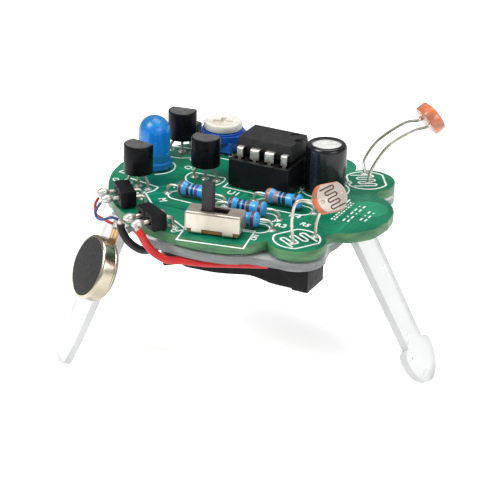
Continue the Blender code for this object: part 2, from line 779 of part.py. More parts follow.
def transistor_outline():
    """A circle of 2.3 mm radius with its far side cut flat."""
    return ring_points(2.3, 12, (0, 0), math.radians(150), math.radians(240))


def transistors():
    for number, (x, y, angle) in enumerate(TRANSISTORS, 1):
        name = f"transistor_{number}"
        mesh = flat_mesh(name, [transistor_outline()], TRANSISTOR_H)
        item = add(name, mesh, black_plastic(), (x, y, TRANSISTOR_BASE + TRANSISTOR_H / 2), turn_z(angle))
        soften(item, 0.12, 1, 50)
        baked(item)
        routes = []
        for top, spread in ((-1.27, -LEAD_SPREAD), (0, 0), (1.27, LEAD_SPREAD)):
            high = around((x, y), angle, (top, 0))
            low = around((x, y), angle, (spread, 0))
            upper = [(*high, TRANSISTOR_BASE + 0.4), (*high, TRANSISTOR_BASE - 0.4), (*low, 0.9)]
            routes.append(upper + soldered(low))
        with_leads(item, routes)


def capacitor():
    sleeve = [(2.35, 7.75), (2.85, 7.7), (3.12, 7.45), (3.2, 7.1), (3.2, 0.35), (3.0, 0.35), (3.0, 7.05),
              (2.85, 7.4), (2.35, 7.5)]
    turned("capacitor_sleeve", sleeve, material("black_sleeve", (0.02, 0.02, 0.025), 0.3), (CAP_X, CAP_Y, 0))
    can = [(0, 7.35), (2.65, 7.35), (2.85, 7.0), (2.85, 0.6), (2.6, 0.6), (2.6, 6.9), (0, 6.9)]
    aluminium = material("aluminium", (0.85, 0.85, 0.85), 0.3, 1.0)
    item = turned("capacitor_can", can, aluminium, (CAP_X, CAP_Y, 0))
    baked(item)
    boolean(item, cross_cutter(3.6, 0.2, 0.2, 45, (CAP_X, CAP_Y, 7.35)))
    bung = flat_mesh("capacitor_bung", [ring_points(2.45, 24)], 1.4)
    bung = add("capacitor_bung", bung, material("black_rubber", (0.03, 0.03, 0.03), 0.8), (CAP_X, CAP_Y, 1.3))
    feet = [(CAP_X + d, CAP_Y) for d in (-CAP_PITCH / 2, CAP_PITCH / 2)]
    with_leads(bung, [[(*foot, 1.5)] + soldered(foot) for foot in feet])
    element = [(0, 6.6), (2.3, 6.6), (2.3, 2.5), (0, 2.5)]
    paper = material("paper", (0.55, 0.45, 0.3), 0.9)
    turned("capacitor_element", element, paper, (CAP_X, CAP_Y, 0), None, 16)


def trimmer():
    """Blue base, white rotor with a cross slot, and the dark track plate beside it."""
    blue = material("blue_plastic", (0.02, 0.13, 0.6), 0.4)
    foot = mesh_of("trimmer_base", lambda bm: cuboid(bm, (5.6, 5.4, 1.9), (0, 0, 1.4)))
    base = add("trimmer_base", foot, blue, (TRIM_X, TRIM_Y, 0))
    disc = flat_mesh("disc", [trimmer_disc_outline()], 1.5)
    boolean(base, add("disc", disc, None, (TRIM_X, TRIM_Y, 2.9), None, cutters), "UNION")
    boolean(base, cutter("well", lambda bm: rod(bm, 1.2, 2.2, 6.0, (0, 0), 16), (TRIM_X, TRIM_Y, 0)))
    with_leads(base, [[(*foot, 1.0)] + soldered(foot) for foot in trimmer_feet()])
    profile = [(0, 4.95), (2.85, 4.95), (3.1, 4.7), (3.1, 3.8), (0.85, 3.8), (0.85, 2.5), (0, 2.5)]
    white = material("white_nylon", (0.85, 0.84, 0.8), 0.4)
    rotor = turned("trimmer_rotor", profile, white, (TRIM_X, TRIM_Y, 0), None, 28)
    baked(rotor)
    boolean(rotor, cross_cutter(4.4, 0.9, 1.2, 20, (TRIM_X, TRIM_Y, 4.95)))
    track = mesh_of("trimmer_track", lambda bm: cuboid(bm, (1.4, 2.6, 2.4), (0, 0, 0)))
    place = (TRIM_X - 4.7, TRIM_Y - 0.8, 2.6)
    item = add("trimmer_track", track, black_plastic(), place, turn_z(math.radians(-6)))
    soften(item, 0.35, 1)
    baked(item)


def trimmer_disc_outline():
    """A round flange with a small stop tab to the right."""
    arc = ring_points(3.6, 20, (0, 0), math.radians(32), math.radians(296))
    return arc + [(4.4, -1.2), (4.7, 0.0), (4.4, 1.2)]


def resistors():
    blue = material("resistor_blue", (0.12, 0.45, 0.8), 0.35)
    cap = [(0, 3.1), (0.7, 3.08), (1.05, 2.85), (1.18, 2.4), (1.14, 1.75), (0.93, 1.35)]
    profile = cap + [(r, -z) for r, z in reversed(cap)]
    for number, (x, y, angle) in enumerate(RESISTORS, 1):
        lie = turn_z(angle) @ Matrix.Rotation(math.pi / 2, 3, "Y")
        item = turned(f"resistor_{number}", profile, blue, (x, y, RESISTOR_Z), lie, 14)
        baked(item)
        routes = []
        for side in (-1, 1):
            near = around((x, y), angle, (side * 2.9, 0))
            bend = around((x, y), angle, (side * (RESISTOR_FOOT - 0.6), 0))
            foot = around((x, y), angle, (side * RESISTOR_FOOT, 0))
            upper = [(*near, RESISTOR_Z), (*bend, RESISTOR_Z), (*foot, RESISTOR_Z - 0.5)]
            routes.append(upper + soldered(foot))
        with_leads(item, routes)


# ---------------------------------------------------------------- light sensors

LDR_T = 1.9


def ldr_outline():
    """A disc with two flats, 5.1 mm long and 4.3 mm wide."""
    half_long, half_wide = 2.55, 2.15
    corner = math.acos(half_wide / half_long)
    right = ring_points(half_long, 8, (0, 0), -math.pi / 2 + corner, math.pi - 2 * corner)
    return right + [(-x, -y) for x, y in right]


def axes_frame(along, normal):
    """Rotation with X near along and Z on normal."""
    z = Vector(normal).normalized()
    x = (Vector(along) - Vector(along).dot(z) * z).normalized()
    return Matrix((x, z.cross(x), z)).transposed()


def ldr(name, centre, along, normal, feet, lifts):
    """A sensor disc on two long leads; lifts are each lead's own middle points."""
    turn = axes_frame(along, normal)
    ceramic = material("ceramic", (0.8, 0.7, 0.6), 0.5)
    disc = add(name, flat_mesh(name, [ldr_outline()], LDR_T), ceramic, centre, turn)
    soften(disc, 0.15, 1, 60)
    baked(disc)
    routes = []
    for side, foot, lift in zip((-1, 1), feet, lifts):
        end = Vector(centre) + turn @ Vector((side * 1.7, 0, -LDR_T / 2 + 0.5))
        out = Vector(centre) + turn @ Vector((side * 1.7, 0, -LDR_T / 2 - 0.5))
        run = smooth_route([(*foot, 0.5), *lift, tuple(out)], 4)
        routes.append([tuple(end)] + [tuple(p) for p in reversed(run)] + soldered(foot))
    return with_leads(disc, routes)


def light_sensors():
    left_lifts = [[(10.9, 16.2, 2.2), (12.9, 16.6, 5.6), (17.2, 16.2, 9.4)],
                  [(13.7, 12.9, 2.6), (16.0, 13.2, 6.4), (19.6, 13.5, 9.4)]]
    ldr("sensor_left", (22.0, 15.0, 11.6), (0.705, -0.708, 0.04), (0.545, 0.654, 0.531), LDR_LEFT_FEET,
        left_lifts)
    right_lifts = [[(12.4, -14.1, 3.4), (12.9, -13.6, 6.3)],
                   [(14.8, -10.5, 2.4), (15.6, -10.3, 4.6)]]
    ldr("sensor_right", (17.3, -11.8, 7.2), (0.605, 0.798, 0.022), (0.672, -0.523, 0.519), LDR_RIGHT_FEET,
        right_lifts)


# ---------------------------------------------------------------- headers

def solder_ball(bm):
    bmesh.ops.create_uvsphere(bm, u_segments=10, v_segments=6, radius=0.8)


def solder_cone(bm):
    rod(bm, SOLDER_TIP_R, SOLDER_BOTTOM, SOLDER_TOP, (0, 0), 8, SOLDER_R)


def header(name, place):
    """A two-way right-angle header: pins through the block, turned down into the board."""
    x, y, angle = place
    holes = [rectangle(1.1, 1.1, (d, 0)) for d in (-PIN_PITCH / 2, PIN_PITCH / 2)]
    block = flat_mesh(name, [rectangle(2 * HEADER_SIZE, HEADER_SIZE)] + holes, HEADER_SIZE)
    upright(block)
    item = add(name, block, black_plastic(), (x, y, HEADER_Z), turn_z(angle))
    soften(item, 0.2, 1, 60)
    half = 0.25
    back = HEADER_SIZE / 2 + HEADER_FOOT
    reach = HEADER_SIZE / 2 + HEADER_FAN
    profile = [(-reach, half), (back + half, half), (back + half, LEAD_BOTTOM - HEADER_Z),
               (back - half, LEAD_BOTTOM - HEADER_Z), (back - half, -half), (-reach, -half)]
    for number, d in enumerate((-PIN_PITCH / 2, PIN_PITCH / 2), 1):
        spot = around((x, y), angle, (d, 0))
        across = turn_z(angle + math.pi / 2)
        pin = add(f"{name}_pin_{number}", upright(flat_mesh("pin", [profile], 2 * half)), tinned_metal(),
                  (*spot, HEADER_Z), across)
        blob = mesh_of("blob", solder_ball)
        blob.transform(Matrix.Diagonal((1.25, 1.0, 0.85, 1)))
        tip = around(spot, angle + math.pi / 2, (-reach, 0))
        boolean(pin, add("blob", blob, None, (*tip, HEADER_Z), across, cutters), "UNION")
        foot = around(spot, angle + math.pi / 2, (back, 0))
        cone = mesh_of("cone", solder_cone)
        boolean(pin, add("cone", cone, None, (*foot, 0), None, cutters), "UNION")


# ---------------------------------------------------------------- motor

def motor_place():
    """Middle of the motor's back face on the right rear leg, and the leg's rotation."""
    x, y = REAR_BEND
    start, turn = leg_frame((x, -y), -REAR_HEADING, REAR_SLOPE)
    return start + turn @ Vector((MOTOR_DOWN, MOTOR_ASIDE, MOTOR_BACK)), turn


def motor():
    centre, turn = motor_place()
    steel = material("motor_steel", (0.72, 0.66, 0.58), 0.3, 1.0)
    front = MOTOR_T
    edge = 0.25
    inside = MOTOR_R - MOTOR_WALL
    can = [(0, front - edge), (4.6, front - edge), (MOTOR_R - edge, front), (MOTOR_R, front - edge),
           (MOTOR_R, 0), (inside, 0), (inside, front - 2 * edge), (0, front - 2 * edge)]
    turned("motor_can", can, steel, centre, turn, 40)
    turned("motor_base", [(0, 0.25), (4.55, 0.25), (4.55, 0.0), (0, 0.0)], steel, centre, turn, 32)
    pad = [(0, front + 0.05), (MOTOR_PAD_R, front + 0.05), (MOTOR_PAD_R, front - 0.15), (0, front - 0.15)]
    turned("motor_pad", pad, material("grey_foam", (0.06, 0.06, 0.06), 0.85), centre, turn, 40)
    turned("motor_shaft", [(0, 1.75), (0.35, 1.75), (0.35, 0.4), (0, 0.4)], steel, centre, turn, 12)
    turned("motor_magnet", [(2.0, 0.75), (3.6, 0.75), (3.6, 0.4), (2.0, 0.4)],
           material("magnet", (0.25, 0.25, 0.27), 0.4, 1.0), centre, turn, 24)
    half_disc = ring_points(4.2, 12, (0, 0), math.radians(-75), math.radians(150))
    waist = ring_points(1.3, 8, (0, 0), math.radians(90), math.radians(180))
    bore = ring_points(0.55, 10)
    rotor = flat_mesh("motor_rotor", [half_disc + waist, bore], 0.65)
    rotor.transform(Matrix.Translation((0, 0, 1.3 * MM)))
    add("motor_rotor", rotor, material("tungsten_polymer", (0.1, 0.25, 0.15), 0.6), centre, turn)
    turned("motor_adhesive", [(0, -0.35), (4.6, -0.35), (4.6, -0.48), (0, -0.48)],
           white_foam(), centre, turn, 32)
    motor_flex(centre, turn)


def motor_flex(centre, turn):
    """The flexible strip under the motor that rises past its rim to carry two solder points."""
    thick = 0.14
    corner = -5.35
    tip = (corner - FLEX_RISE * math.cos(FLEX_LEAN), FLEX_RISE * math.sin(FLEX_LEAN))
    side = Vector((math.sin(FLEX_LEAN), math.cos(FLEX_LEAN))) * thick
    far = (tip[0] + side.x, tip[1] + side.y)
    outline = [(-1.0, 0), (-1.0, thick), (corner, thick), far, tip, (corner, 0)]
    mesh = upright(flat_mesh("motor_flex", [outline], FLEX_W))
    place = centre + turn @ Vector((0, -0.3, -0.22))
    add("motor_flex", mesh, material("amber_flex", (0.55, 0.3, 0.04), 0.35), place, turn)


# ---------------------------------------------------------------- wiring and solder

def battery_leads():
    """Red lead: battery header to the holder's front tab. Black lead: header to the holder's rear lug."""
    red = [(-8.2, -23.4, 0.9), (-7.6, -23.3, 0.1), (-7.3, -22.4, -1.5), (-6.2, -21.9, -2.9),
           (-4.4, -21.2, -3.9), (-2.6, -20.0, -4.1), (0.8, -19.2, -4.05), (4.0, -17.8, -4.0),
           (6.6, -16.5, -4.0), (9.2, -15.1, -4.05)]
    black = [(-11.8, -22.1, 0.6), (-11.6, -22.2, -0.3), (-10.7, -22.0, -1.8), (-9.6, -21.2, -3.1),
             (-9.0, -19.7, -4.0), (-8.8, -17.6, -4.5), (-8.7, -15.9, -4.7)]
    red_vinyl = material("red_vinyl", (0.7, 0.03, 0.03), 0.4)
    black_vinyl = material("black_vinyl", (0.02, 0.02, 0.02), 0.4)
    tube("battery_lead_red", smooth_route(red, 4), BATTERY_LEAD_R, red_vinyl, 2)
    tube("battery_lead_black", smooth_route(black, 4), BATTERY_LEAD_R, black_vinyl, 2)


def motor_leads():
    """Fine leads from the motor header to the flexible strip."""
    red = [(-19.44, -15.4, 0.73), (-19.7, -15.9, -0.21), (-19.2, -16.6, -1.42), (-17.38, -17.0, -1.88),
           (-15.84, -17.16, -2.16)]
    blue = [(-17.84, -17.5, 1.09), (-18.53, -17.8, -0.32), (-18.2, -18.1, -1.14), (-17.24, -18.2, -1.34),
            (-15.94, -17.69, -0.89), (-14.9, -17.3, -1.15)]
    red_vinyl = material("red_vinyl", (0.7, 0.03, 0.03), 0.4)
    blue_vinyl = material("blue_vinyl", (0.03, 0.06, 0.45), 0.4)
    tube("motor_lead_red", smooth_route(red, 4), MOTOR_LEAD_R, red_vinyl, 2)
    tube("motor_lead_blue", smooth_route(blue, 4), MOTOR_LEAD_R, blue_vinyl, 2)


def shade_round_faces():
    """Round pieces shade smooth, and edges stay sharp where faces meet at an angle."""
    for item in parts.objects:
        if item.type == "MESH":
            baked(item)
            item.data.shade_smooth()
            item.data.set_sharp_from_angle(angle=SHARP_ANGLE)


def main():
    global board_frame
    clear_scene()
    board_frame = bpy.data.objects.new("board_frame", None)
    parts.objects.link(board_frame)
    board_frame.location = Vector((-CENTRE_X, -CENTRE_Y, BOARD_TOP)) * MM
    circuit_board()
    leg_plate()
    plate_pad()
    battery_holder()
    holder_tape()
    coin_cell()
    cell_contacts()
    dip_socket()
    socket_contacts()
    ic()
    switch_case()
    switch_base()
    switch_slider()
    switch_contact()
    led()
    transistors()
    capacitor()
    trimmer()
    resistors()
    light_sensors()
    header("header_motor", HEADER_MOTOR)
    header("header_battery", HEADER_BATTERY)
    motor()
    battery_leads()
    motor_leads()
    shade_round_faces()


main()
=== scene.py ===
"""Looks for the light-seeking robot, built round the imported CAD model.

Pieces are drawn in millimetres in the board's own frame: +X to the nose, +Y to the robot's left,
Z = 0 on the board's top face. Shape turns them into world metres.
"""

from math import acos, atan2, cos, degrees, exp, pi, radians, sin, sqrt

import bmesh
import bpy
from mathutils import Matrix, Vector


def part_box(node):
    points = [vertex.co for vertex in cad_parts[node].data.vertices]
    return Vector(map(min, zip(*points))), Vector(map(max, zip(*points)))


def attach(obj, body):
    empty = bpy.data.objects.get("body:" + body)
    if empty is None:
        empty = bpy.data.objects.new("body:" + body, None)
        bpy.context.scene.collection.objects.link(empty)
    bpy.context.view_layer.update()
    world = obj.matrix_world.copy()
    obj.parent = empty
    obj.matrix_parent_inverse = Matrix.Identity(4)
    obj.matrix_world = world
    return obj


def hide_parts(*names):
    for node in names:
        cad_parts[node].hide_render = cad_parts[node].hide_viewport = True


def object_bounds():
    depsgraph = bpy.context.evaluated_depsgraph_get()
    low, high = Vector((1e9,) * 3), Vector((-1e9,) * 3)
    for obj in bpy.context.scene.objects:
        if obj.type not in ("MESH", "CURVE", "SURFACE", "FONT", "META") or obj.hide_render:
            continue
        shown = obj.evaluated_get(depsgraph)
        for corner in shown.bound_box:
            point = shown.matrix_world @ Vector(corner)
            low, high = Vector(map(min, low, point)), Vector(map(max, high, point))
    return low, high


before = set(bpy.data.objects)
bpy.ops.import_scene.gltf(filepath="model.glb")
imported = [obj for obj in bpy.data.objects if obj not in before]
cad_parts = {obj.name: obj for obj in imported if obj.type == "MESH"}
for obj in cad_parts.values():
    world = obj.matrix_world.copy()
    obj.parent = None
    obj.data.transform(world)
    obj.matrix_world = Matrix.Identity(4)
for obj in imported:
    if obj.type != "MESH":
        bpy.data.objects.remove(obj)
cad_low, cad_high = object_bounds()

MM = 0.001
TAIL_X = 24.2
board_low, board_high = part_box("circuit_board")
ORIGIN = Vector((board_low.x + TAIL_X * MM, (board_low.y + board_high.y) / 2, board_high.z))
TO_WORLD = Matrix.Translation(ORIGIN) @ Matrix.Diagonal((MM, MM, MM, 1))
UP = Vector((0, 0, 1))
TIP_X, TIP_Y = Matrix.Rotation(pi / 2, 4, "X"), Matrix.Rotation(pi / 2, 4, "Y")

# Sizes shared with the CAD model.
BOARD_T = 1.6
PLATE_TOP, PLATE_T = -2.05, 1.2
PLATE_MIDDLE = PLATE_TOP - PLATE_T / 2
FLOOR = -25.2
LEG_W = 6
BEND_R = 1.6
FRONT_BEND, FRONT_SLOPE = (16.5, 0), radians(60.3)
REAR_BEND, REAR_HEADING, REAR_SLOPE = (-15.4, 14.1), radians(129.7), radians(67.2)
LOBE_X, LOBE_Y, LOBE_R = 12.8, 12.9, 4.4
MOTOR_R, MOTOR_T = 5, 2.4
MOTOR_DOWN, MOTOR_ASIDE, MOTOR_BACK = 6.3, 2.45, 1.15
MOTOR_PAD_R, MOTOR_RIM = 4.45, 0.45
FLEX_W, FLEX_RISE, FLEX_LEAN = 2.4, 2.6, radians(4)
HOLDER, HOLDER_R, POCKET_R = (1.2, -4.2), 11.5, 10.4
HOLDER_TOP, HOLDER_FLOOR, HOLDER_BOTTOM, HOLDER_SIDES = -3.75, 0.8, -8.6, 144
SCOOP = [(-130, HOLDER_BOTTOM), (-120, -8.1), (-111, -7.6), (-97, -7.2), (-84, -6.9), (-72, -6.7),
    (-65, -6.7), (-57, -7.3), (-49, -8.2), (-44, HOLDER_BOTTOM)]
PITCH = 2.54
PAIR = (-PITCH / 2, PITCH / 2)
SOCKET = (0, 5)
SOCKET_TOP, CHIP_TOP = 4.7, 7.8
ROW_HALF = 3.81
CHIP_DIMPLE = (2.9, 6.8)
LED, LED_R, LED_DOME = (-18.9, 1.4), 2.5, 6.1
CAPACITOR = (8.5, 6.4)
TRIMMER = (-12.9, 13.4)
SWITCH, SWITCH_TURN, SWITCH_PITCH = (1.15, -16.7), radians(11), 2.5
TRANSISTORS = [(-17.3, -6.7, radians(-11)), (-18.1, 9.3, radians(10)), (-9.6, 1, radians(3.5))]
LEAD_SPREAD = 1.9
RESISTORS = [(-7, -7, radians(-1)), (2.4, -8.5, radians(8)), (3.2, -12.6, radians(9.5)),
    (5.9, -3, radians(1))]
RESISTOR_Z, RESISTOR_FOOT, RESISTOR_HALF = 1.4, 5, 3.1
SENSOR_LEFT_FEET = [(11.3, 15.3), (13.3, 12.3)]
SENSOR_RIGHT_FEET = [(12.8, -14.3), (14.7, -10.6)]
SENSOR_T, SENSOR_LONG, SENSOR_WIDE, SENSOR_LEAD = 1.9, 2.55, 2.15, 1.7
HEADER_MOTOR = (-15.8, -13.6, radians(-48))
HEADER_BATTERY = (-8.1, -19.2, radians(-33))
HEADER_SIZE, HEADER_Z, HEADER_BACK, HEADER_FAN = 2.54, 1.5, 2.77, 1.9
LEAD_R = 0.25
CAPACITOR_LEADS = (-1.25, 1.25)
TRIMMER_LEADS, TRIMMER_ROW = (-2.5, 0, 2.5), -1.7

# The view and the light. An edge sharper than SHARP degrees is not smoothed.
CAMERA_PLACE = Vector((138.3, -290.6, 137.2))
CAMERA_RIGHT, CAMERA_BACK = Vector((0.8955, 0.4452, 0)), Vector((0.3981, -0.8199, 0.4115))
CAMERA_ROLL, CAMERA_LENS = radians(1.3), 169.9
LIGHTS = [("key", (-0.22, -0.28, 0.42), (0.26, 0.26), 2.5),
    ("fill", (0.42, -0.16, 0.22), (0.3, 0.2), 0.8), ("top", (0.02, 0.12, 0.5), (0.4, 0.3), 1.6)]
FLOOR_SIZE = 4000
WHITE = (1, 1, 1, 1)
SHARP = 38


# Materials.

def feed(node, **values):
    """Sets a node's inputs; an underscore stands for a space in the input's name."""
    for socket, value in values.items():
        node.inputs[socket.replace("_", " ")].default_value = value


def surface(name, colour, other=None, roughness=0.5, spread=0.1, patch=350, grain=2600, bump=0.15,
        stretch=(1, 1, 1), metallic=0, gloss=0.5, coat=0, clear=0, **sockets):
    """A finish whose colour, roughness and height all vary with noise in the piece's own space."""
    made = bpy.data.materials.new(name)
    made.use_nodes = True
    nodes, links = made.node_tree.nodes, made.node_tree.links
    shader = nodes["Principled BSDF"]
    feed(shader, Metallic=metallic, Specular_IOR_Level=gloss, Coat_Weight=coat, Transmission_Weight=clear,
        **sockets)
    place = nodes.new("ShaderNodeTexCoord")
    mapping = nodes.new("ShaderNodeMapping")
    feed(mapping, Scale=stretch)
    links.new(place.outputs["Object"], mapping.inputs["Vector"])

    def noise(scale, detail):
        node = nodes.new("ShaderNodeTexNoise")
        feed(node, Scale=scale, Detail=detail)
        links.new(mapping.outputs["Vector"], node.inputs["Vector"])
        return node.outputs["Fac"]

    ramp = nodes.new("ShaderNodeValToRGB")
    stops = ((0.34, other or [c * 0.7 for c in colour]), (0.68, colour))
    for stop, (position, tint) in zip(ramp.color_ramp.elements, stops):
        stop.position = position
        stop.color = (*tint, 1)
    links.new(noise(patch, 5), ramp.inputs["Fac"])
    links.new(ramp.outputs["Color"], shader.inputs["Base Color"])
    spot = nodes.new("ShaderNodeMapRange")
    feed(spot, From_Min=0.3, From_Max=0.7, To_Min=max(0.02, roughness - spread),
        To_Max=min(1, roughness + spread))
    links.new(noise(patch * 2.3, 6), spot.inputs["Value"])
    links.new(spot.outputs["Result"], shader.inputs["Roughness"])
    height = nodes.new("ShaderNodeBump")
    feed(height, Strength=bump, Distance=0.05 * MM)
    links.new(noise(grain, 4), height.inputs["Height"])
    links.new(height.outputs["Normal"], shader.inputs["Normal"])
    return made


def board_surface():
    """Green lacquer: noise patches, and the faint grid of the glass weave under it."""
    made = surface("solder_mask", (0.001, 0.18, 0.088), (0.0005, 0.11, 0.056), 0.36, 0.08, 160, 1500,
        0.08, coat=0.06, Coat_Roughness=0.2, gloss=0.2)
    nodes, links = made.node_tree.nodes, made.node_tree.links
    shader = nodes["Principled BSDF"]
    place = nodes["Texture Coordinate"]
    ramp = nodes["Color Ramp"]
    weave = nodes.new("ShaderNodeTexWave")
    feed(weave, Scale=420, Distortion=1.5)
    links.new(place.outputs["Object"], weave.inputs["Vector"])
    soft = nodes.new("ShaderNodeMapRange")
    feed(soft, To_Min=0.92, To_Max=1.06)
    links.new(weave.outputs["Fac"], soft.inputs["Value"])
    shade = nodes.new("ShaderNodeVectorMath")
    shade.operation = "SCALE"
    links.new(ramp.outputs["Color"], shade.inputs[0])
    links.new(soft.outputs["Result"], shade.inputs["Scale"])
    links.new(shade.outputs["Vector"], shader.inputs["Base Color"])
    return made


MASK = board_surface()
MASK_COPPER = surface("mask_over_copper", (0.008, 0.235, 0.115), (0.004, 0.17, 0.082), 0.36, 0.06, 300,
    1500, 0.08, coat=0.06, Coat_Roughness=0.2, gloss=0.2)
BOARD_EDGE = surface("board_edge", (0.06, 0.2, 0.065), (0.01, 0.095, 0.04), 0.42, 0.12, 260, 2200, 0.3,
    (1, 1, 5), Subsurface_Weight=0.15, Subsurface_Scale=0.0006)
INK = surface("white_ink", (0.86, 0.9, 0.87), (0.62, 0.72, 0.66), 0.55, 0.1, 1500, 4000, 0.2)
SOLDER = surface("solder", (0.66, 0.65, 0.62), (0.46, 0.45, 0.43), 0.42, 0.08, 900, 2200, 0.06,
    metallic=0.85)
TINNED = surface("tinned_wire", (0.7, 0.67, 0.6), (0.46, 0.42, 0.35), 0.38, 0.1, 500, 3000, metallic=0.85)
LEG_METAL = surface("chip_leg", (0.86, 0.83, 0.76), (0.58, 0.55, 0.48), 0.38, 0.1, 700, 3000, 0.2,
    metallic=0.85)
SHEET = surface("clear_sheet_finish", (0.862, 0.868, 0.868), (0.846, 0.852, 0.852), 0.3, 0.03, 120, 500,
    0, clear=0.66, IOR=1.22, gloss=0.35)
# The sheet's cut edges are greyer than its faces: the transmission is real, the grey tone is painted shade
# for the dark lines refraction draws along a clear sheet's edges.
SHEET_EDGE_SHADE = surface("clear_leg_edge_painted_shade", (0.7, 0.712, 0.712), (0.655, 0.668, 0.668), 0.34, 0.04, 260, 900,
    0, (1, 1, 4), clear=0.5, IOR=1.22, gloss=0.3)
# Dark grey for the clear plate's edge under the board: painted shade from the board above, mixed with the
# dark parts seen through the sheet.
PLATE_RIM_SHADE = surface("clear_plate_rim_painted_shade", (0.3, 0.32, 0.32), (0.2, 0.215, 0.215), 0.32, 0.06, 260, 900, 0,
    (1, 1, 4), clear=0.35, IOR=1.3)
PLASTIC = surface("holder_plastic", (0.008, 0.008, 0.009), (0.004, 0.004, 0.005), 0.42, 0.1, 300, 3500,
    0.3, gloss=0.12)
SOCKET_PLASTIC = surface("socket_plastic", (0.006, 0.006, 0.007), (0.003, 0.003, 0.004), 0.38, 0.1, 300,
    3500, 0.25, gloss=0.25)
CHIP_MOULD = surface("chip_mould", (0.024, 0.023, 0.024), (0.013, 0.013, 0.014), 0.6, 0.1, 900, 5000,
    0.45, gloss=0.25)
CASE_MOULD = surface("transistor_mould", (0.006, 0.006, 0.007), (0.003, 0.003, 0.004), 0.34, 0.1, 900,
    5000, 0.3, gloss=0.12)
CASE_TOP = surface("transistor_top", (0.1, 0.1, 0.1), (0.05, 0.05, 0.053), 0.6, 0.1, 900, 5000, 0.4,
    gloss=0.3)
NICKEL = surface("nickel_shell", (0.62, 0.565, 0.485), (0.46, 0.415, 0.35), 0.34, 0.08, 260, 2400, 0.12,
    (1, 1, 0.4), metallic=0.9)
PHENOLIC = surface("phenolic_board", (0.36, 0.19, 0.06), (0.22, 0.1, 0.03), 0.55, 0.1, 700, 2600, 0.4,
    (1, 1, 4))
LEVER = surface("lever_plastic", (0.03, 0.027, 0.03), (0.014, 0.013, 0.015), 0.55, 0.1, 900, 4000, 0.4,
    gloss=0.3)
BRASS = surface("brass_strip", (0.8, 0.58, 0.24), (0.6, 0.4, 0.15), 0.3, metallic=1)
EPOXY_BLUE = surface("blue_epoxy_lens", (0.014, 0.35, 0.72), (0.008, 0.24, 0.58), 0.3, 0.06, 260, 900,
    0.05, clear=0.6, IOR=1.5, coat=0.1, gloss=0.35)
# The LED's inner core: its emission is painted glow, standing in for light scattered inside the blue epoxy.
EPOXY_CORE_GLOW = surface("blue_core_painted_glow", (0, 0.55, 1), (0, 0.42, 0.95), 0.5, 0.1, 400, 900, 0.05,
    Emission_Color=(0, 0.45, 1, 1), Emission_Strength=0.25)
RESISTOR_BODY = surface("resistor_lacquer", (0.035, 0.34, 0.72), (0.022, 0.26, 0.62), 0.3, 0.08, 700,
    2200, coat=0.3)
BAND_COLOURS = {"brown": (0.16, 0.025, 0.016), "black": (0.012, 0.01, 0.012),
    "violet": (0.1, 0.035, 0.38), "orange": (0.55, 0.13, 0.03)}
BANDS = {name: surface("band_" + name, colour, None, 0.35, 0.08, 900)
    for name, colour in BAND_COLOURS.items()}
SLEEVE = surface("capacitor_film", (0.008, 0.008, 0.01), (0.004, 0.004, 0.006), 0.24, 0.07, 300, 1800,
    0.1, gloss=0.35, coat=0.12)
SLEEVE_STRIPE = surface("capacitor_stripe", (0.018, 0.022, 0.038), (0.01, 0.012, 0.022), 0.28, 0.07, 500)
CAN = surface("can_top", (0.84, 0.84, 0.82), (0.7, 0.7, 0.69), 0.4, 0.08, 500, 2600, 0.2, metallic=0.35)
RUBBER = surface("bung_rubber", (0.02, 0.02, 0.02), None, 0.75, 0.1, 500, 3000, 0.5)
PAPER = surface("wound_foil", (0.5, 0.42, 0.3), None, 0.8, 0.1, 500, 2500, 0.5)
TRIM_BLUE = surface("trimmer_base_plastic", (0.01, 0.11, 0.5), (0.006, 0.07, 0.38), 0.3, 0.08, 350, 2200,
    coat=0.2)
TRIM_WHITE = surface("trimmer_dial_plastic", (0.7, 0.685, 0.63), (0.58, 0.55, 0.47), 0.4, 0.1, 500, 2600,
    0.2, Subsurface_Weight=0.15, Subsurface_Scale=0.0005)
# Near-black finish for the block at the trimmer's rear-left corner: painted shade on that corner of the
# trimmer body.
TRIMMER_CORNER_SHADE = surface("trimmer_corner_painted_shade", (0.05, 0.05, 0.052), (0.025, 0.025, 0.027), 0.5, 0.15, 800, 3500, 0.5)
GLAZE = surface("sensor_glaze", (0.47, 0.43, 0.38), (0.38, 0.32, 0.27), 0.26, 0.08, 700, 2200, 0.2,
    coat=0.5, Coat_Roughness=0.08)
GLAZE_RIM = surface("sensor_rim", (0.66, 0.15, 0.05), (0.28, 0.11, 0.06), 0.35, 0.1, 620, 2200, 0.25,
    coat=0.4)
WINDING = surface("sensor_track", (0.085, 0.028, 0.02), (0.045, 0.016, 0.012), 0.4, 0.1, 900)
SENSOR_SPOT = surface("sensor_electrode", (0.52, 0.43, 0.33), (0.3, 0.27, 0.2), 0.35, 0.1, 900,
    metallic=0.3)
STEEL = surface("motor_steel_finish", (0.6, 0.54, 0.44), (0.4, 0.35, 0.27), 0.24, 0.08, 240, 2600, 0.1,
    metallic=1)
PAD = surface("motor_pad_foam", (0.036, 0.036, 0.035), (0.024, 0.024, 0.024), 0.85, 0.08, 1500, 6000, 0.7,
    gloss=0.25)
FLEX = surface("amber_film", (0.46, 0.22, 0.03), (0.28, 0.14, 0.03), 0.25, 0.08, 420, 1500, 0.2,
    metallic=0.3, coat=0.4)
MAGNET = surface("magnet_finish", (0.26, 0.26, 0.27), None, 0.4, metallic=0.8)
WEIGHT = surface("weight_finish", (0.36, 0.38, 0.36), None, 0.45, 0.1, 600, 2600, 0.4, metallic=0.8)
FOAM = surface("foam_tape_finish", (0.78, 0.77, 0.72), (0.66, 0.65, 0.6), 0.85, 0.1, 1500, 5000, 0.8)
CELL = surface("cell_steel_finish", (0.74, 0.73, 0.7), (0.6, 0.59, 0.56), 0.26, 0.08, 200, 3000, 0.1,
    (1, 6, 1), metallic=1)
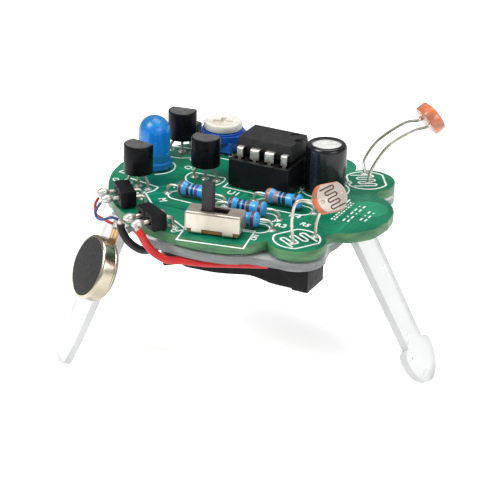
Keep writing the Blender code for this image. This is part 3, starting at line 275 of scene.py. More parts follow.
RED = surface("red_sleeve", (0.52, 0.012, 0.012), (0.38, 0.008, 0.008), 0.4, 0.08, 500, 1800, 0.2,
    gloss=0.35)
BLACK = surface("black_sleeve_wire", (0.008, 0.008, 0.008), (0.004, 0.004, 0.004), 0.36, 0.08, 500, 1800,
    0.2, gloss=0.3)
BLUE = surface("blue_sleeve", (0.02, 0.045, 0.22), (0.01, 0.03, 0.15), 0.36, 0.08, 500, 1800, 0.2, coat=0.2)


# Geometry helpers.

def shift(x, y, z):
    return Matrix.Translation((x, y, z))


def at(x, y, z=0, angle=0):
    """A place on the board, turned about Z."""
    return shift(x, y, z) @ Matrix.Rotation(angle, 4, "Z")


def frame_at(centre, x, y, z):
    """A place whose own axes are x, y and z."""
    return Matrix.Translation(centre) @ Matrix((x, y, z)).transposed().to_4x4()


def around(place, offset):
    """The flat point at offset (along, across) in a place (x, y, angle)."""
    x, y, angle = place
    c, s = cos(angle), sin(angle)
    return (x + offset[0] * c - offset[1] * s, y + offset[0] * s + offset[1] * c)


def ring(radius, sides, centre=(0, 0), start=0, sweep=2 * pi):
    closed = abs(sweep) > 2 * pi - 1e-6
    count = sides if closed else sides + 1
    return [(centre[0] + radius * cos(start + sweep * i / sides),
        centre[1] + radius * sin(start + sweep * i / sides)) for i in range(count)]


def rectangle(x, y, centre=(0, 0)):
    return [(centre[0] + a * x / 2, centre[1] + b * y / 2) for a, b in ((-1, -1), (1, -1), (1, 1), (-1, 1))]


def smooth(points, steps=6):
    """Catmull-Rom samples through points of any size, ends included."""
    run = [Vector(p) for p in points]
    run = [2 * run[0] - run[1]] + run + [2 * run[-1] - run[-2]]
    out = []
    for i in range(1, len(run) - 2):
        a, b, c, d = run[i - 1:i + 3]
        for k in range(steps):
            t = k / steps
            out.append(0.5 * (2 * b + (c - a) * t + (2 * a - 5 * b + 4 * c - d) * t * t
                + (3 * b - a - 3 * c + d) * t ** 3))
    out.append(run[-2])
    return out


def linked(name, data):
    item = bpy.data.objects.new(name, data)
    bpy.context.scene.collection.objects.link(item)
    return item


def evaluated(item):
    """A new mesh of an object with its modifiers applied."""
    return bpy.data.meshes.new_from_object(item.evaluated_get(bpy.context.evaluated_depsgraph_get()))


def solid_of(curve):
    """A bmesh of an extruded curve or text, with its doubled points joined."""
    item = linked("outline", curve)
    mesh = evaluated(item)
    bpy.data.objects.remove(item, do_unlink=True)
    part = bmesh.new()
    part.from_mesh(mesh)
    bpy.data.meshes.remove(mesh)
    bmesh.ops.remove_doubles(part, verts=part.verts, dist=1e-4)
    return part


def close_skin(part, loops):
    """Joins loops of corners into a tube with flat ends."""
    for first, second in zip(loops, loops[1:]):
        for k in range(len(first)):
            n = (k + 1) % len(first)
            part.faces.new((first[k], first[n], second[n], second[k]))
    part.faces.new(list(reversed(loops[0])))
    part.faces.new(loops[-1])
    bmesh.ops.recalc_face_normals(part, faces=part.faces)


def smoothed(mesh, angle):
    mesh.shade_smooth()
    mesh.set_sharp_from_angle(angle=radians(angle))


class Shape:
    """A mesh being drawn in board millimetres; every part of it has its own finish."""

    def __init__(self):
        self.bm = bmesh.new()
        self.finishes = []

    def index(self, finish):
        if finish not in self.finishes:
            self.finishes.append(finish)
        return self.finishes.index(finish)

    def take(self, source, finish, place=None, sides=None):
        """Adds a bmesh to this one; upright faces may have a finish of their own."""
        for face in source.faces:
            upright = sides and abs(face.normal.z) < 0.5
            face.material_index = self.index(sides if upright else finish)
        self.add(source, place)

    def add(self, source, place=None):
        """Adds a bmesh whose faces already have this shape's finish numbers."""
        mesh = bpy.data.meshes.new("part")
        source.to_mesh(mesh)
        source.free()
        if place is not None:
            mesh.transform(place)
        self.bm.from_mesh(mesh)
        bpy.data.meshes.remove(mesh)

    def box(self, size, finish, place=None, bevel=0, segments=2):
        part = bmesh.new()
        bmesh.ops.create_cube(part, size=1)
        bmesh.ops.scale(part, vec=size, verts=part.verts)
        if bevel:
            bmesh.ops.bevel(part, geom=part.edges[:], offset=bevel, segments=segments, profile=0.5,
                affect="EDGES")
        self.take(part, finish, place)

    def lathe(self, profile, finish, place=None, sides=40):
        """Turns (r, z) or (r, z, finish of the strip below it) about Z, from the top down."""
        part = bmesh.new()
        rings = []
        for point in profile:
            r, z = point[:2]
            if r < 1e-9:
                rings.append([part.verts.new((0, 0, z))])
            else:
                rings.append([part.verts.new((x, y, z)) for x, y in ring(r, sides)])
        marks = []
        for number, (high, low) in enumerate(zip(rings, rings[1:])):
            strip = profile[number][2] if len(profile[number]) > 2 else finish
            for i in range(sides):
                j = (i + 1) % sides
                corners = [high[i % len(high)], low[i % len(low)], low[j % len(low)], high[j % len(high)]]
                corners = [v for k, v in enumerate(corners) if v not in corners[:k]]
                marks.append((part.faces.new(corners), strip))
        bmesh.ops.recalc_face_normals(part, faces=part.faces)
        for face, strip in marks:
            face.material_index = self.index(strip)
        self.add(part, place)

    def tube(self, route, radius, finish, sides=12):
        """A closed tube along (x, y, z) points; a fourth number is that point's own radius."""
        part = bmesh.new()
        points = [Vector(p[:3]) for p in route]
        sizes = [p[3] if len(p) > 3 else radius for p in route]
        ahead = (points[1] - points[0]).normalized()
        side = ahead.orthogonal().normalized()
        rings = []
        for i, point in enumerate(points):
            before = points[max(i - 1, 0)]
            after = points[min(i + 1, len(points) - 1)]
            now = (after - before).normalized()
            side = (ahead.rotation_difference(now) @ side).normalized()
            ahead = now
            up = ahead.cross(side)
            rings.append([part.verts.new(point + (side * cos(a) + up * sin(a)) * sizes[i])
                for a in (2 * pi * k / sides for k in range(sides))])
        close_skin(part, rings)
        self.take(part, finish)

    def prism(self, loops, bottom, top, finish, place=None, sides=None, cuts=(), rounded=0):
        """An extruded outline with holes for its later loops; cuts are (point, normal) planes."""
        curve = bpy.data.curves.new("outline", "CURVE")
        curve.dimensions = "2D"
        curve.fill_mode = "BOTH"
        curve.extrude = (top - bottom) / 2
        for loop in loops:
            spline = curve.splines.new("POLY")
            spline.points.add(len(loop) - 1)
            spline.use_cyclic_u = True
            for point, (x, y) in zip(spline.points, loop):
                point.co = (x, y, 0, 1)
        part = solid_of(curve)
        bmesh.ops.dissolve_limit(part, angle_limit=0.001, verts=part.verts, edges=part.edges)
        bmesh.ops.recalc_face_normals(part, faces=part.faces)
        bmesh.ops.translate(part, vec=(0, 0, (top + bottom) / 2), verts=part.verts)
        for point, normal in cuts:
            everything = part.verts[:] + part.edges[:] + part.faces[:]
            bmesh.ops.bisect_plane(part, geom=everything, plane_co=point, plane_no=normal)
        if rounded:
            rim = [e for e in part.edges if e.is_manifold and e.calc_face_angle(0) > 0.9
                and abs(e.verts[0].co.z - e.verts[1].co.z) < 1e-5]
            bmesh.ops.bevel(part, geom=rim, offset=rounded, segments=2, profile=0.5, affect="EDGES")
        part.normal_update()
        self.take(part, finish, place, sides)

    def blob(self, size, finish, place):
        """An ellipsoid of three half sizes."""
        profile = [(sin(pi * k / 12), cos(pi * k / 12)) for k in range(13)]
        self.lathe(profile, finish, place @ Matrix.Diagonal((*size, 1)), 20)

    def foot(self, x, y, radius=LEAD_R):
        """A lead from just over the board, through it, to its solder cone below."""
        self.tube([(x, y, 0.35), (x, y, -2.75)], radius, TINNED, 10)
        cone = [(0, -1.62), (0.72, -1.62), (0.62, -1.8), (0.42, -2.15), (0.32, -2.5), (0.18, -2.66),
            (0, -2.68)]
        self.lathe(cone, SOLDER, at(x, y), 18)
        top = [(0, 0.2), (0.27, 0.18), (0.33, 0.1), (0.44, 0.05), (0.5, 0), (0, -0.02)]
        self.lathe(top, SOLDER, at(x, y), 18)

    def peg(self, x, y, top=0.7):
        """A straight lead from inside a part down through the board."""
        self.tube([(x, y, top), (x, y, 0.2)], LEAD_R, TINNED, 10)
        self.foot(x, y)

    def placed(self, name):
        """The shape as an object in the world, with its finishes."""
        mesh = bpy.data.meshes.new(name)
        self.bm.to_mesh(mesh)
        self.bm.free()
        mesh.transform(TO_WORLD)
        for finish in self.finishes:
            mesh.materials.append(finish)
        return linked(name, mesh)

    def done(self, name, body="robot", replaces=(), angle=SHARP, bevel=0):
        """Makes the piece, rides it on its body and hides the CAD nodes it stands in for."""
        item = self.placed(name)
        smoothed(item.data, angle)
        if bevel:
            soft = item.modifiers.new("edges", "BEVEL")
            soft.width = bevel * MM
            soft.segments = 2
            soft.limit_method = "ANGLE"
            soft.angle_limit = radians(50)
        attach(item, body)
        if replaces:
            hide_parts(*replaces)
        return item


# Board, plate and legs.

def open_run(points, steps):
    return [(p.x, p.y) for p in smooth(points, steps)]


def body_run(steps):
    return open_run([(7.4, 17.9), (4.6, 19.5), (0.5, 20.3), (-4.5, 20.2), (-10, 18.9), (-15.6, 16),
        (-20.2, 10.9), (-23.2, 5), (-24.2, 0)], steps)


def both_sides(half):
    return half + [(x, -y) for x, y in reversed(half) if y > 1e-6]


def header_feet(place):
    return [around(place, (d, HEADER_BACK)) for d in PAIR]


def lead_rows():
    """Every row of leads that goes through the board."""
    rows = [[(LED[0], LED[1] + d) for d in PAIR]]
    rows += [[around(place, (d, 0)) for d in (-LEAD_SPREAD, 0, LEAD_SPREAD)] for place in TRANSISTORS]
    rows += [[around(place, (d, 0))] for place in RESISTORS for d in (-RESISTOR_FOOT, RESISTOR_FOOT)]
    for side in (-1, 1):
        rows.append([(SOCKET[0] + (i - 1.5) * PITCH, SOCKET[1] + side * ROW_HALF) for i in range(4)])
    rows.append([around((*SWITCH, SWITCH_TURN), (d, 0)) for d in (-SWITCH_PITCH, 0, SWITCH_PITCH)])
    rows.append([(CAPACITOR[0] + d, CAPACITOR[1]) for d in CAPACITOR_LEADS])
    rows.append([(TRIMMER[0] + d, TRIMMER[1] + TRIMMER_ROW) for d in TRIMMER_LEADS])
    rows += [SENSOR_LEFT_FEET, SENSOR_RIGHT_FEET, header_feet(HEADER_MOTOR), header_feet(HEADER_BATTERY)]
    return rows


def circuit_board():
    nose = open_run([(21.9, 0), (21.2, 3.9), (18.9, 7), (16.9, 7.9)], 10)
    lobe = ring(LOBE_R, 26, (LOBE_X, LOBE_Y), radians(-42), radians(187))
    outline = both_sides(nose + [(16.3, 8.8)] + lobe + [(8.7, 16.1)] + body_run(9))
    holes = [ring(0.5, 14, lead) for row in lead_rows() for lead in row]
    board = Shape()
    board.prism([outline] + holes, -BOARD_T, 0, MASK, sides=BOARD_EDGE, rounded=0.1)
    return board.done("board", replaces=["circuit_board"])


def leg_length(slope):
    start = PLATE_MIDDLE - BEND_R * (1 - cos(slope))
    return (start - FLOOR - PLATE_T / 2 * cos(slope)) / sin(slope)


def front_leg():
    half, foot = LEG_W / 2, leg_length(FRONT_SLOPE)
    side = [(0, half), (0.74 * foot, half - 0.35)]
    hoof = open_run([(0.755 * foot, half + 1.1), (0.8 * foot, half + 1.45), (0.87 * foot, half + 1.2),
        (0.94 * foot, half + 0.1), (0.985 * foot, half - 1.5), (foot, half - 2.7)], 4)
    side += hoof
    return side + [(x, -y) for x, y in reversed(side)]


def rear_leg():
    half, foot = LEG_W / 2, leg_length(REAR_SLOPE)
    side = [(0, half), (0.45 * foot, half - 0.05), (0.8 * foot, half - 0.55)]
    return side + ring(2, 14, (foot - 2, 0), radians(60), radians(-120)) + [(x, -y) for x,
        y in reversed(side)]


def stadium(row, radius, steps=8):
    if len(row) == 1:
        return ring(radius, 2 * steps, row[0])
    first, last = row[0], row[-1]
    along = atan2(last[1] - first[1], last[0] - first[0])
    return (ring(radius, steps, last, along - pi / 2, pi) + ring(radius, steps, first, along + pi / 2,
        pi))


LEGS = [(FRONT_BEND, 0, FRONT_SLOPE), (REAR_BEND, REAR_HEADING, REAR_SLOPE),
    ((REAR_BEND[0], -REAR_BEND[1]), -REAR_HEADING, REAR_SLOPE)]
LEG_REACH = 4.7
BEND_STEPS = 10


def leg_axes(heading):
    out = Vector((cos(heading), sin(heading), 0))
    return out, UP.cross(out)


def folded(point):
    """A point of the flat plate, folded down where it lies on a leg."""
    for bend, heading, slope in LEGS:
        out, across = leg_axes(heading)
        away = Vector((point.x - bend[0], point.y - bend[1], 0))
        u, v = away.dot(out), away.dot(across)
        if u <= 1e-5 or abs(v) > LEG_REACH:
            continue
        angle = min(u / BEND_R, slope)
        rest = max(0, u - BEND_R * slope)
        high = point.z - PLATE_MIDDLE
        reach = (BEND_R + high) * sin(angle) + rest * cos(slope)
        drop = (BEND_R + high) * cos(angle) - BEND_R - rest * sin(slope)
        return Vector((*bend, PLATE_MIDDLE)) + out * reach + across * v + UP * drop
    return point


def flat_leg(outline, bend, heading, slope):
    """A leg's outline laid flat beyond its bend, in plate coordinates."""
    out, across = leg_axes(heading)
    length = BEND_R * slope
    points = [Vector((*bend, 0)) + out * (length + x) + across * y for x, y in outline]
    root = [Vector((*bend, 0)) + across * y for y in (outline[0][1], outline[-1][1])]
    return [(p.x, p.y) for p in [root[0]] + points + [root[1]]]


def plate_half():
    """Left half of the flat plate with its legs, from the front foot's middle to the tail."""
    front = flat_leg(front_leg(), *LEGS[0])
    half = list(reversed(front[:len(front) // 2]))
    half += [(FRONT_BEND[0], 6.4), (16.2, 8.4)]
    half += ring(LOBE_R, 22, (LOBE_X, LOBE_Y), radians(-25), radians(125))
    out, across = leg_axes(REAR_HEADING)
    bend = Vector((*REAR_BEND, 0))
    run = [Vector((x, y, 0)) for x, y in body_run(9)]
    inside = [(p - bend).dot(out) < 0 for p in run]
    first = inside.index(False)
    last = len(inside) - 1 - inside[::-1].index(False)

    def crossing(a, b):
        da, db = (a - bend).dot(out), (b - bend).dot(out)
        return a.lerp(b, da / (da - db))

    enter, leave = crossing(run[first - 1], run[first]), crossing(run[last], run[last + 1])
    half += [(p.x, p.y) for p in run[:first]] + [(enter.x, enter.y)]
    half += list(reversed(flat_leg(rear_leg(), *LEGS[1])))
    half += [(leave.x, leave.y)] + [(p.x, p.y) for p in run[last + 1:]]
    return half


def leg_plate():
    slots = [stadium(row, 0.92) for row in lead_rows()]
    cuts = []
    for bend, heading, slope in LEGS:
        out, _ = leg_axes(heading)
        for k in range(BEND_STEPS + 1):
            cuts.append((Vector((*bend, 0)) + out * (BEND_R * slope * k / BEND_STEPS + 1e-4), out))
    plate = Shape()
    # Upright cut edges get the greyer edge finish, which is painted shade.
    plate.prism([both_sides(plate_half())] + slots, PLATE_TOP - PLATE_T, PLATE_TOP, SHEET,
        sides=SHEET_EDGE_SHADE, cuts=cuts)
    for vertex in plate.bm.verts:
        vertex.co = folded(vertex.co)
    # Edge faces at the plate's own level take the darker rim finish: painted shade under the board.
    edge, rim = plate.index(SHEET_EDGE_SHADE), plate.index(PLATE_RIM_SHADE)
    for face in plate.bm.faces:
        if face.material_index == edge and face.calc_center_median().z > PLATE_MIDDLE - 0.3:
            face.material_index = rim
    return plate.done("clear_plate_and_legs", replaces=["leg_plate"], angle=30, bevel=0.12)


# Printing on the board.

class Ink(Shape):
    """Flat strips and letters, such as the print on the board's top face."""

    def strip(self, points, width, finish, top, closed=False):
        run = [Vector((x, y)) for x, y in points]
        count = len(run)
        part = bmesh.new()
        rows = []
        for i, point in enumerate(run):
            before = run[i - 1] if i or closed else point
            after = run[(i + 1) % count] if i + 1 < count or closed else point
            one, two = (point - before), (after - point)
            one = one.normalized() if one.length else two.normalized()
            two = two.normalized() if two.length else one
            middle = (one + two).normalized() if (one + two).length > 1e-6 else one
            side = Vector((-middle.y, middle.x)) * (width / 2 / max(0.5, middle.dot(one)))
            left, right = point + side, point - side
            corners = ((left, top), (right, top), (right, -0.01), (left, -0.01))
            rows.append([part.verts.new((corner.x, corner.y, z)) for corner, z in corners])
        pairs = list(zip(rows, rows[1:])) + ([(rows[-1], rows[0])] if closed else [])
        for first, second in pairs:
            for k in range(4):
                n = (k + 1) % 4
                part.faces.new((first[k], second[k], second[n], first[n]))
        if not closed:
            part.faces.new(rows[0])
            part.faces.new(list(reversed(rows[-1])))
        bmesh.ops.recalc_face_normals(part, faces=part.faces)
        self.take(part, finish)

    def label(self, text, x, y, angle, size):
        curve = bpy.data.curves.new("label", "FONT")
        curve.body = text
        curve.size = size
        curve.extrude = 0.02
        curve.offset = 0.025
        curve.align_x = "CENTER"
        curve.align_y = "CENTER"
        self.take(solid_of(curve), INK, at(x, y, 0.025, radians(angle)))


INK_TOP = 0.045
INK_W = 0.24


def winding(passes, pitch, half, ends):
    """A serpentine: passes along X stacked along Y and joined by half rounds, with longer ends."""
    points = [(-ends, (passes - 1) / 2 * pitch)]
    for number in range(passes):
        y = ((passes - 1) / 2 - number) * pitch
        side = 1 if number % 2 == 0 else -1
        if number == passes - 1:
            points.append((side * ends, y))
            break
        points += [(side * half + side * cos(a) * pitch / 2, y - pitch / 2 + sin(a) * pitch / 2)
            for a in (pi / 2 - pi * k / 6 for k in range(7))]
    return points


def silkscreen():
    ink = Ink()

    def line(points, place=(0, 0, 0), closed=False, width=INK_W):
        ink.strip([around(place, p) for p in points], width, INK, INK_TOP, closed)

    line(rectangle(11.2, 11.2), (*SOCKET, 0), True)
    line(rectangle(10.2, 6.6, (0.4, -0.9)), (*SWITCH, SWITCH_TURN), True)
    for place in TRANSISTORS:
        line(ring(3.1, 22, (0, 0), radians(152), radians(236)), place, True)
    for place in RESISTORS:
        body = ring(1.7, 8, (3, 0), -pi / 2, pi) + ring(1.7, 8, (-3, 0), pi / 2, pi)
        line(body, place, True)
    line(ring(3.75, 40), (*CAPACITOR, 0), True)
    line(ring(3.35, 36, (0, 0), radians(-60), radians(300)), (*LED, 0))
    line(rectangle(7.6, 7.9, (0.2, 0.2)), (*TRIMMER, 0), True)
    for place in (HEADER_MOTOR, HEADER_BATTERY):
        line([(-3.4, 1.9), (-3.4, 3.9), (3.4, 3.9), (3.4, 1.9)], place)
    for side in (-1, 1):
        centre = (LOBE_X - 0.1, side * (LOBE_Y - 0.1), radians(-58 * side))
        flats = ring(3.5, 10, (0, 0), radians(-55), radians(110))
        line(flats + [(-x, -y) for x, y in flats], centre, True, 0.28)
        line(winding(6, 0.86, 0.95, 2.2), (centre[0], centre[1], centre[2] + radians(90)), width=0.28)
    for x, half, count, pitch in ((14.4, 0.38, 9, 0.86), (16.3, 0.6, 5, 1.45), (18.5, 0.6, 3, 1.45)):
        for k in range(count):
            middle = (k - (count - 1) / 2) * pitch
            for side in (-1, 1):
                reach = 0.3 * pitch if (k + side) % 3 else 0.12 * pitch
                line([(side * half * 0.62, -reach), (side * half * 0.62, reach)], (x, middle, 0))
    labels = [("R1", -11.4, -4.2, 0, 1.7), ("R2", 0.9, -5.7, 8, 1.5), ("R3", 8.6, -9.6, 8, 1.7),
        ("R4", 8.9, -5.3, 0, 1.7), ("U1", -3.1, -2.1, 0, 1.8), ("C1", 13, 3.9, 0, 1.7),
        ("Q1", -21.2, -6.4, -11, 1.4), ("Q2", -14.4, 6.9, 10, 1.6), ("Q3", -13.6, 3.6, 3, 1.6),
        ("D1", -21.9, -2.6, 80, 1.6), ("OFF", -4.5, -18.6, 101, 1.25), ("ON", 7.1, -15.4, 101, 1.25),
        ("R5", 11.6, -7.5, -10, 1.5), ("R6", 10.3, 10.6, 20, 1.7), ("VR1", -7.3, 15.3, -15, 1.6),
        ("M", -11.4, -9.8, -48, 1.7), ("B", -4.7, -13.6, -33, 1.6)]
    for label in labels:
        ink.label(*label)
    return ink.done("board_printing")


def traces():
    """Copper tracks under the lacquer, and the bare ring round every lead."""
    copper = Ink()
    for row in lead_rows():
        for x, y in row:
            copper.lathe([(0, 0.04), (0.64, 0.04), (0.68, -0.01), (0, -0.01)], SOLDER, at(x, y), 20)
    runs = [[(-18.9, 2.7), (-20.6, 4.4), (-20.6, 7.6)], [(-12, -6.9), (-14, -8.6), (-14.6, -10.8)],
        [(-7.7, 1.1), (-5.4, 1.1), (-3.8, 1.2)], [(-1.3, 1.2), (-1.3, -3.4), (-2, -7.1)],
        [(1.3, 1.2), (1.3, -1.6), (0.9, -3.1)], [(3.8, 1.2), (6.8, -1), (10.9, -2.9)],
        [(7.3, -7.8), (10.2, -6.2), (10.9, -2.9)], [(8.1, -11.8), (11.4, -11.8), (12.8, -14.3)],
        [(7.3, 6.4), (5.9, 4.4), (5.9, 0.4)], [(9.8, 6.4), (13, 8.8), (13.3, 12.3)],
        [(3.8, 8.8), (6.2, 12), (11.3, 15.3)], [(-3.8, 8.8), (-6.4, 11.2), (-10.4, 11.7)],
        [(-1.3, 8.8), (-1.3, 13.6), (-8, 16.6)], [(-15.2, -7.1), (-12.6, -3.4), (-11.6, 0.9)],
        [(-5.9, -16.1), (-3.8, -15.2), (-1.7, -13.4)], [(14.7, -10.6), (16.8, -7.2), (16.8, -3)]]
    for run in runs:
        copper.strip(run, 0.7, MASK_COPPER, 0.03)
    for radius, centre in ((3.4, (-14.5, 5.6)), (4.4, (5.2, 15.2)), (3, (17.6, 2.6))):
        copper.prism([ring(radius, 24, centre)], -0.01, 0.022, MASK_COPPER)
    return copper.done("tracks_and_pads")


# Components.

def chip_socket():
    socket = Shape()
    slots = [rectangle(1.5, 1.3, ((i - 1.5) * PITCH, side * ROW_HALF)) for side in (-1, 1)
        for i in range(4)]
    loops = [rectangle(10.16, 10.16), rectangle(5, 3.6)] + slots
    socket.prism(loops, 0.35, SOCKET_TOP, SOCKET_PLASTIC, at(*SOCKET))
    for x in (-4.2, 4.2):
        for y in (-4.2, 4.2):
            socket.box((0.9, 0.9, 0.34), SOCKET_PLASTIC, at(SOCKET[0] + x, SOCKET[1] + y, 0.2), 0.05)
    return socket.done("socket_body", replaces=["dip_socket"], bevel=0.1)


def chip():
    body = Shape()
    bottom = SOCKET_TOP + 0.35
    part = bmesh.new()
    levels = [(bottom, 9, 5.7), (6.25, 9.3, 6.15), (6.55, 9.3, 6.15), (CHIP_TOP, 9, 5.75)]
    rows = [[part.verts.new((x, y, z)) for x, y in rectangle(w, d)] for z, w, d in levels]
    close_skin(part, rows)
    bmesh.ops.bevel(part, geom=part.edges[:], offset=0.09, segments=2, profile=0.5, affect="EDGES")
    body.take(part, CHIP_MOULD, at(*SOCKET))
    shoulder = SOCKET_TOP + 1.75
    for side in (-1, 1):
        for i in range(4):
            x = (i - 1.5) * PITCH
            width = 1 if i in (0, 3) else 1.5
            place = at(SOCKET[0] + x * 0.985, SOCKET[1] + side * ROW_HALF, 0, side * pi / 2)
            place = place @ TIP_X
            outer = ring(0.32, 6, (-0.19, shoulder - 0.32), pi / 2, -pi / 2)
            inner = ring(0.1, 4, (-0.19, shoulder - 0.32), 0, pi / 2)
            strip = [(-0.9, shoulder)] + outer + [(0.13, SOCKET_TOP + 0.1),
                (-0.09, SOCKET_TOP + 0.1)] + inner
            strip.append((-0.9, shoulder - 0.22))
            body.prism([strip], -width / 2, width / 2, LEG_METAL, place)
            pin = at(SOCKET[0] + x, SOCKET[1] + side * ROW_HALF, 3.4)
            body.box((0.5, 0.2, 3), LEG_METAL, pin, 0.04)
    item = body.done("chip_body", body="chip", replaces=["ic"], bevel=0.04)
    tool = Shape()
    tool.lathe([(0, 0.6), (0.8, 0.6), (0.8, -0.45), (0, -0.45)], CHIP_MOULD, at(4.55, 5, CHIP_TOP), 28)
    tool.lathe([(0, 0.4), (0.7, 0.4), (0.7, -0.22), (0, -0.22)], CHIP_MOULD, at(*CHIP_DIMPLE, CHIP_TOP), 24)
    return cut(item, tool)


def cut(item, tool):
    """Takes a shape out of a piece and applies it."""
    knife = tool.placed("tool")
    step = item.modifiers.new("cut", "BOOLEAN")
    step.operation = "DIFFERENCE"
    step.solver = "EXACT"
    step.object = knife
    step.use_self = True
    made = evaluated(item)
    item.modifiers.clear()
    item.data = made
    smoothed(made, SHARP)
    bpy.data.objects.remove(knife, do_unlink=True)
    return item


def transistors():
    for number, place in enumerate(TRANSISTORS, 1):
        case = Shape()
        outline = ring(2.3, 34, (0, 0), radians(150), radians(240))
        part_place = at(*place[:2], 0, place[2])
        case.prism([outline], 2.4, 7.06, CASE_MOULD, part_place, rounded=0.16)
        case.prism([ring(2.1, 34, (0, 0), radians(151), radians(238))], 7.03, 7.1, CASE_TOP, part_place)
        for top, low in ((-1.27, -LEAD_SPREAD), (0, 0), (1.27, LEAD_SPREAD)):
            high, foot = around(place, (top, 0)), around(place, (low, 0))
            route = smooth([(*high, 2.7), (*high, 2), (*foot, 0.95), (*foot, 0.2)], 5)
            case.tube(route, LEAD_R, TINNED, 8)
            case.foot(*foot)
        case.lathe([(0, 0.03), (0.42, 0.03), (0.5, -0.05), (0, -0.1)], SOCKET_PLASTIC,
            part_place @ shift(-1.62, -1.6, 4.6) @ Matrix.Rotation(radians(-135), 4, "Z") @ TIP_Y, 20)
        case.done(f"transistor_case_{number}", replaces=[f"transistor_{number}"])


def resistor_profile(bands):
    """Two bulged ends and a narrow waist; the bands are (from, to, finish) along the axis."""
    half = RESISTOR_HALF
    marks = sorted({0, half} | {edge for a, b, _ in bands for edge in (a + half, b + half)} | {k * 0.155
        for k in range(41)})
    profile = [(0, half + 0.02, RESISTOR_BODY)]
    for mark in reversed(marks):
        z = mark - half
        far = abs(z)
        waist = 0.93 + 0.25 / (1 + exp(-(far - 1.65) * 9))
        end = sqrt(max(0, 1 - max(0, (far - 2.45) / 0.68) ** 2))
        finish = next((f for a, b, f in bands if a - 1e-6 < z <= b + 1e-6), RESISTOR_BODY)
        profile.append((max(0.28, waist * end), z, finish))
    return profile + [(0, -half - 0.02)]


RESISTOR_BANDS = [("brown", "black", "black", "violet", "brown"),
    ("brown", "black", "black", "brown", "brown"), ("black", "black", "brown", "black", "brown"),
    ("orange", "orange", "black", "black", "black")]
BAND_PLACES = [(-2.6, -2.15), (-1.35, -0.95), (-0.6, -0.2), (0.15, 0.55), (1.95, 2.4)]


def resistors():
    for number, (place, names) in enumerate(zip(RESISTORS, RESISTOR_BANDS), 1):
        x, y, angle = place
        body = Shape()
        bands = [(a, b, BANDS[name]) for (a, b), name in zip(BAND_PLACES, names)]
        lie = at(x, y, RESISTOR_Z, angle) @ TIP_Y
        body.lathe(resistor_profile(bands), RESISTOR_BODY, lie, 30)
        for side in (-1, 1):
            points = [(2.9, RESISTOR_Z), (3.7, RESISTOR_Z + 0.1), (4.6, RESISTOR_Z - 0.05), (5, 0.85),
                (5, 0.1)]
            route = smooth([(*around(place, (side * along, 0)), z) for along, z in points], 6)
            body.tube(route, 0.24, TINNED, 10)
            body.foot(*around(place, (side * RESISTOR_FOOT, 0)))
        body.done(f"resistor_body_{number}", replaces=[f"resistor_{number}"])


def lamp():
    lens = Shape()
    dome = [(LED_R * sin(a), LED_DOME + LED_R * cos(a)) for a in (pi / 2 * k / 12 for k in range(13))]
    profile = dome + [(LED_R, 1.35), (2.62, 1.3), (2.88, 1.25), (2.9, 1.15), (2.9, 0.4), (2.85, 0.32),
        (0, 0.3)]
    lens.lathe(profile, EPOXY_BLUE, at(*LED), 48)
    for side in (-1, 1):
        x, y = LED[0], LED[1] + side * PITCH / 2
        lens.peg(x, y)
    lens.done("lamp_lens", replaces=["led"])
    core = Shape()
    inner = [(1.75 * sin(a), 4.6 + 1.9 * cos(a)) for a in (pi / 2 * k / 8 for k in range(9))]
    # The core's emission is painted glow that lightens the lens from inside.
    core.lathe(inner + [(1.75, 3), (1.3, 2.4), (0, 2.3)], EPOXY_CORE_GLOW, at(*LED), 32)
    core.done("lamp_core")


def capacitor():
    sleeve = Shape()
    profile = [(2.35, 7.72), (2.6, 7.75), (2.85, 7.68), (3.05, 7.5), (3.16, 7.25), (3.2, 6.9), (3.2, 1.5),
        (3.12, 1.15), (3.14, 0.85), (3.2, 0.6), (3.18, 0.38), (3, 0.35), (3, 7), (2.85, 7.38),
        (2.35, 7.48)]
    sleeve.lathe(profile + [profile[0]], SLEEVE, at(*CAPACITOR), 56)
    bmesh.ops.remove_doubles(sleeve.bm, verts=sleeve.bm.verts, dist=1e-4)
    stripe = sleeve.index(SLEEVE_STRIPE)
    for face in sleeve.bm.faces:
        middle = face.calc_center_median()
        angle = degrees(atan2(middle.y - CAPACITOR[1], middle.x - CAPACITOR[0]))
        if -118 < angle < -88 and middle.z < 7.3 and (middle - Vector((*CAPACITOR, middle.z))).length > 3.1:
            face.material_index = stripe
    sleeve.done("capacitor_wrap", replaces=["capacitor_sleeve"])
    bung = Shape()
    bung.lathe([(0, 2), (2.45, 2), (2.45, 0.6), (0, 0.6)], RUBBER, at(*CAPACITOR), 32)
    for d in CAPACITOR_LEADS:
        bung.peg(CAPACITOR[0] + d, CAPACITOR[1], 0.8)
    bung.done("capacitor_seal", replaces=["capacitor_bung"])


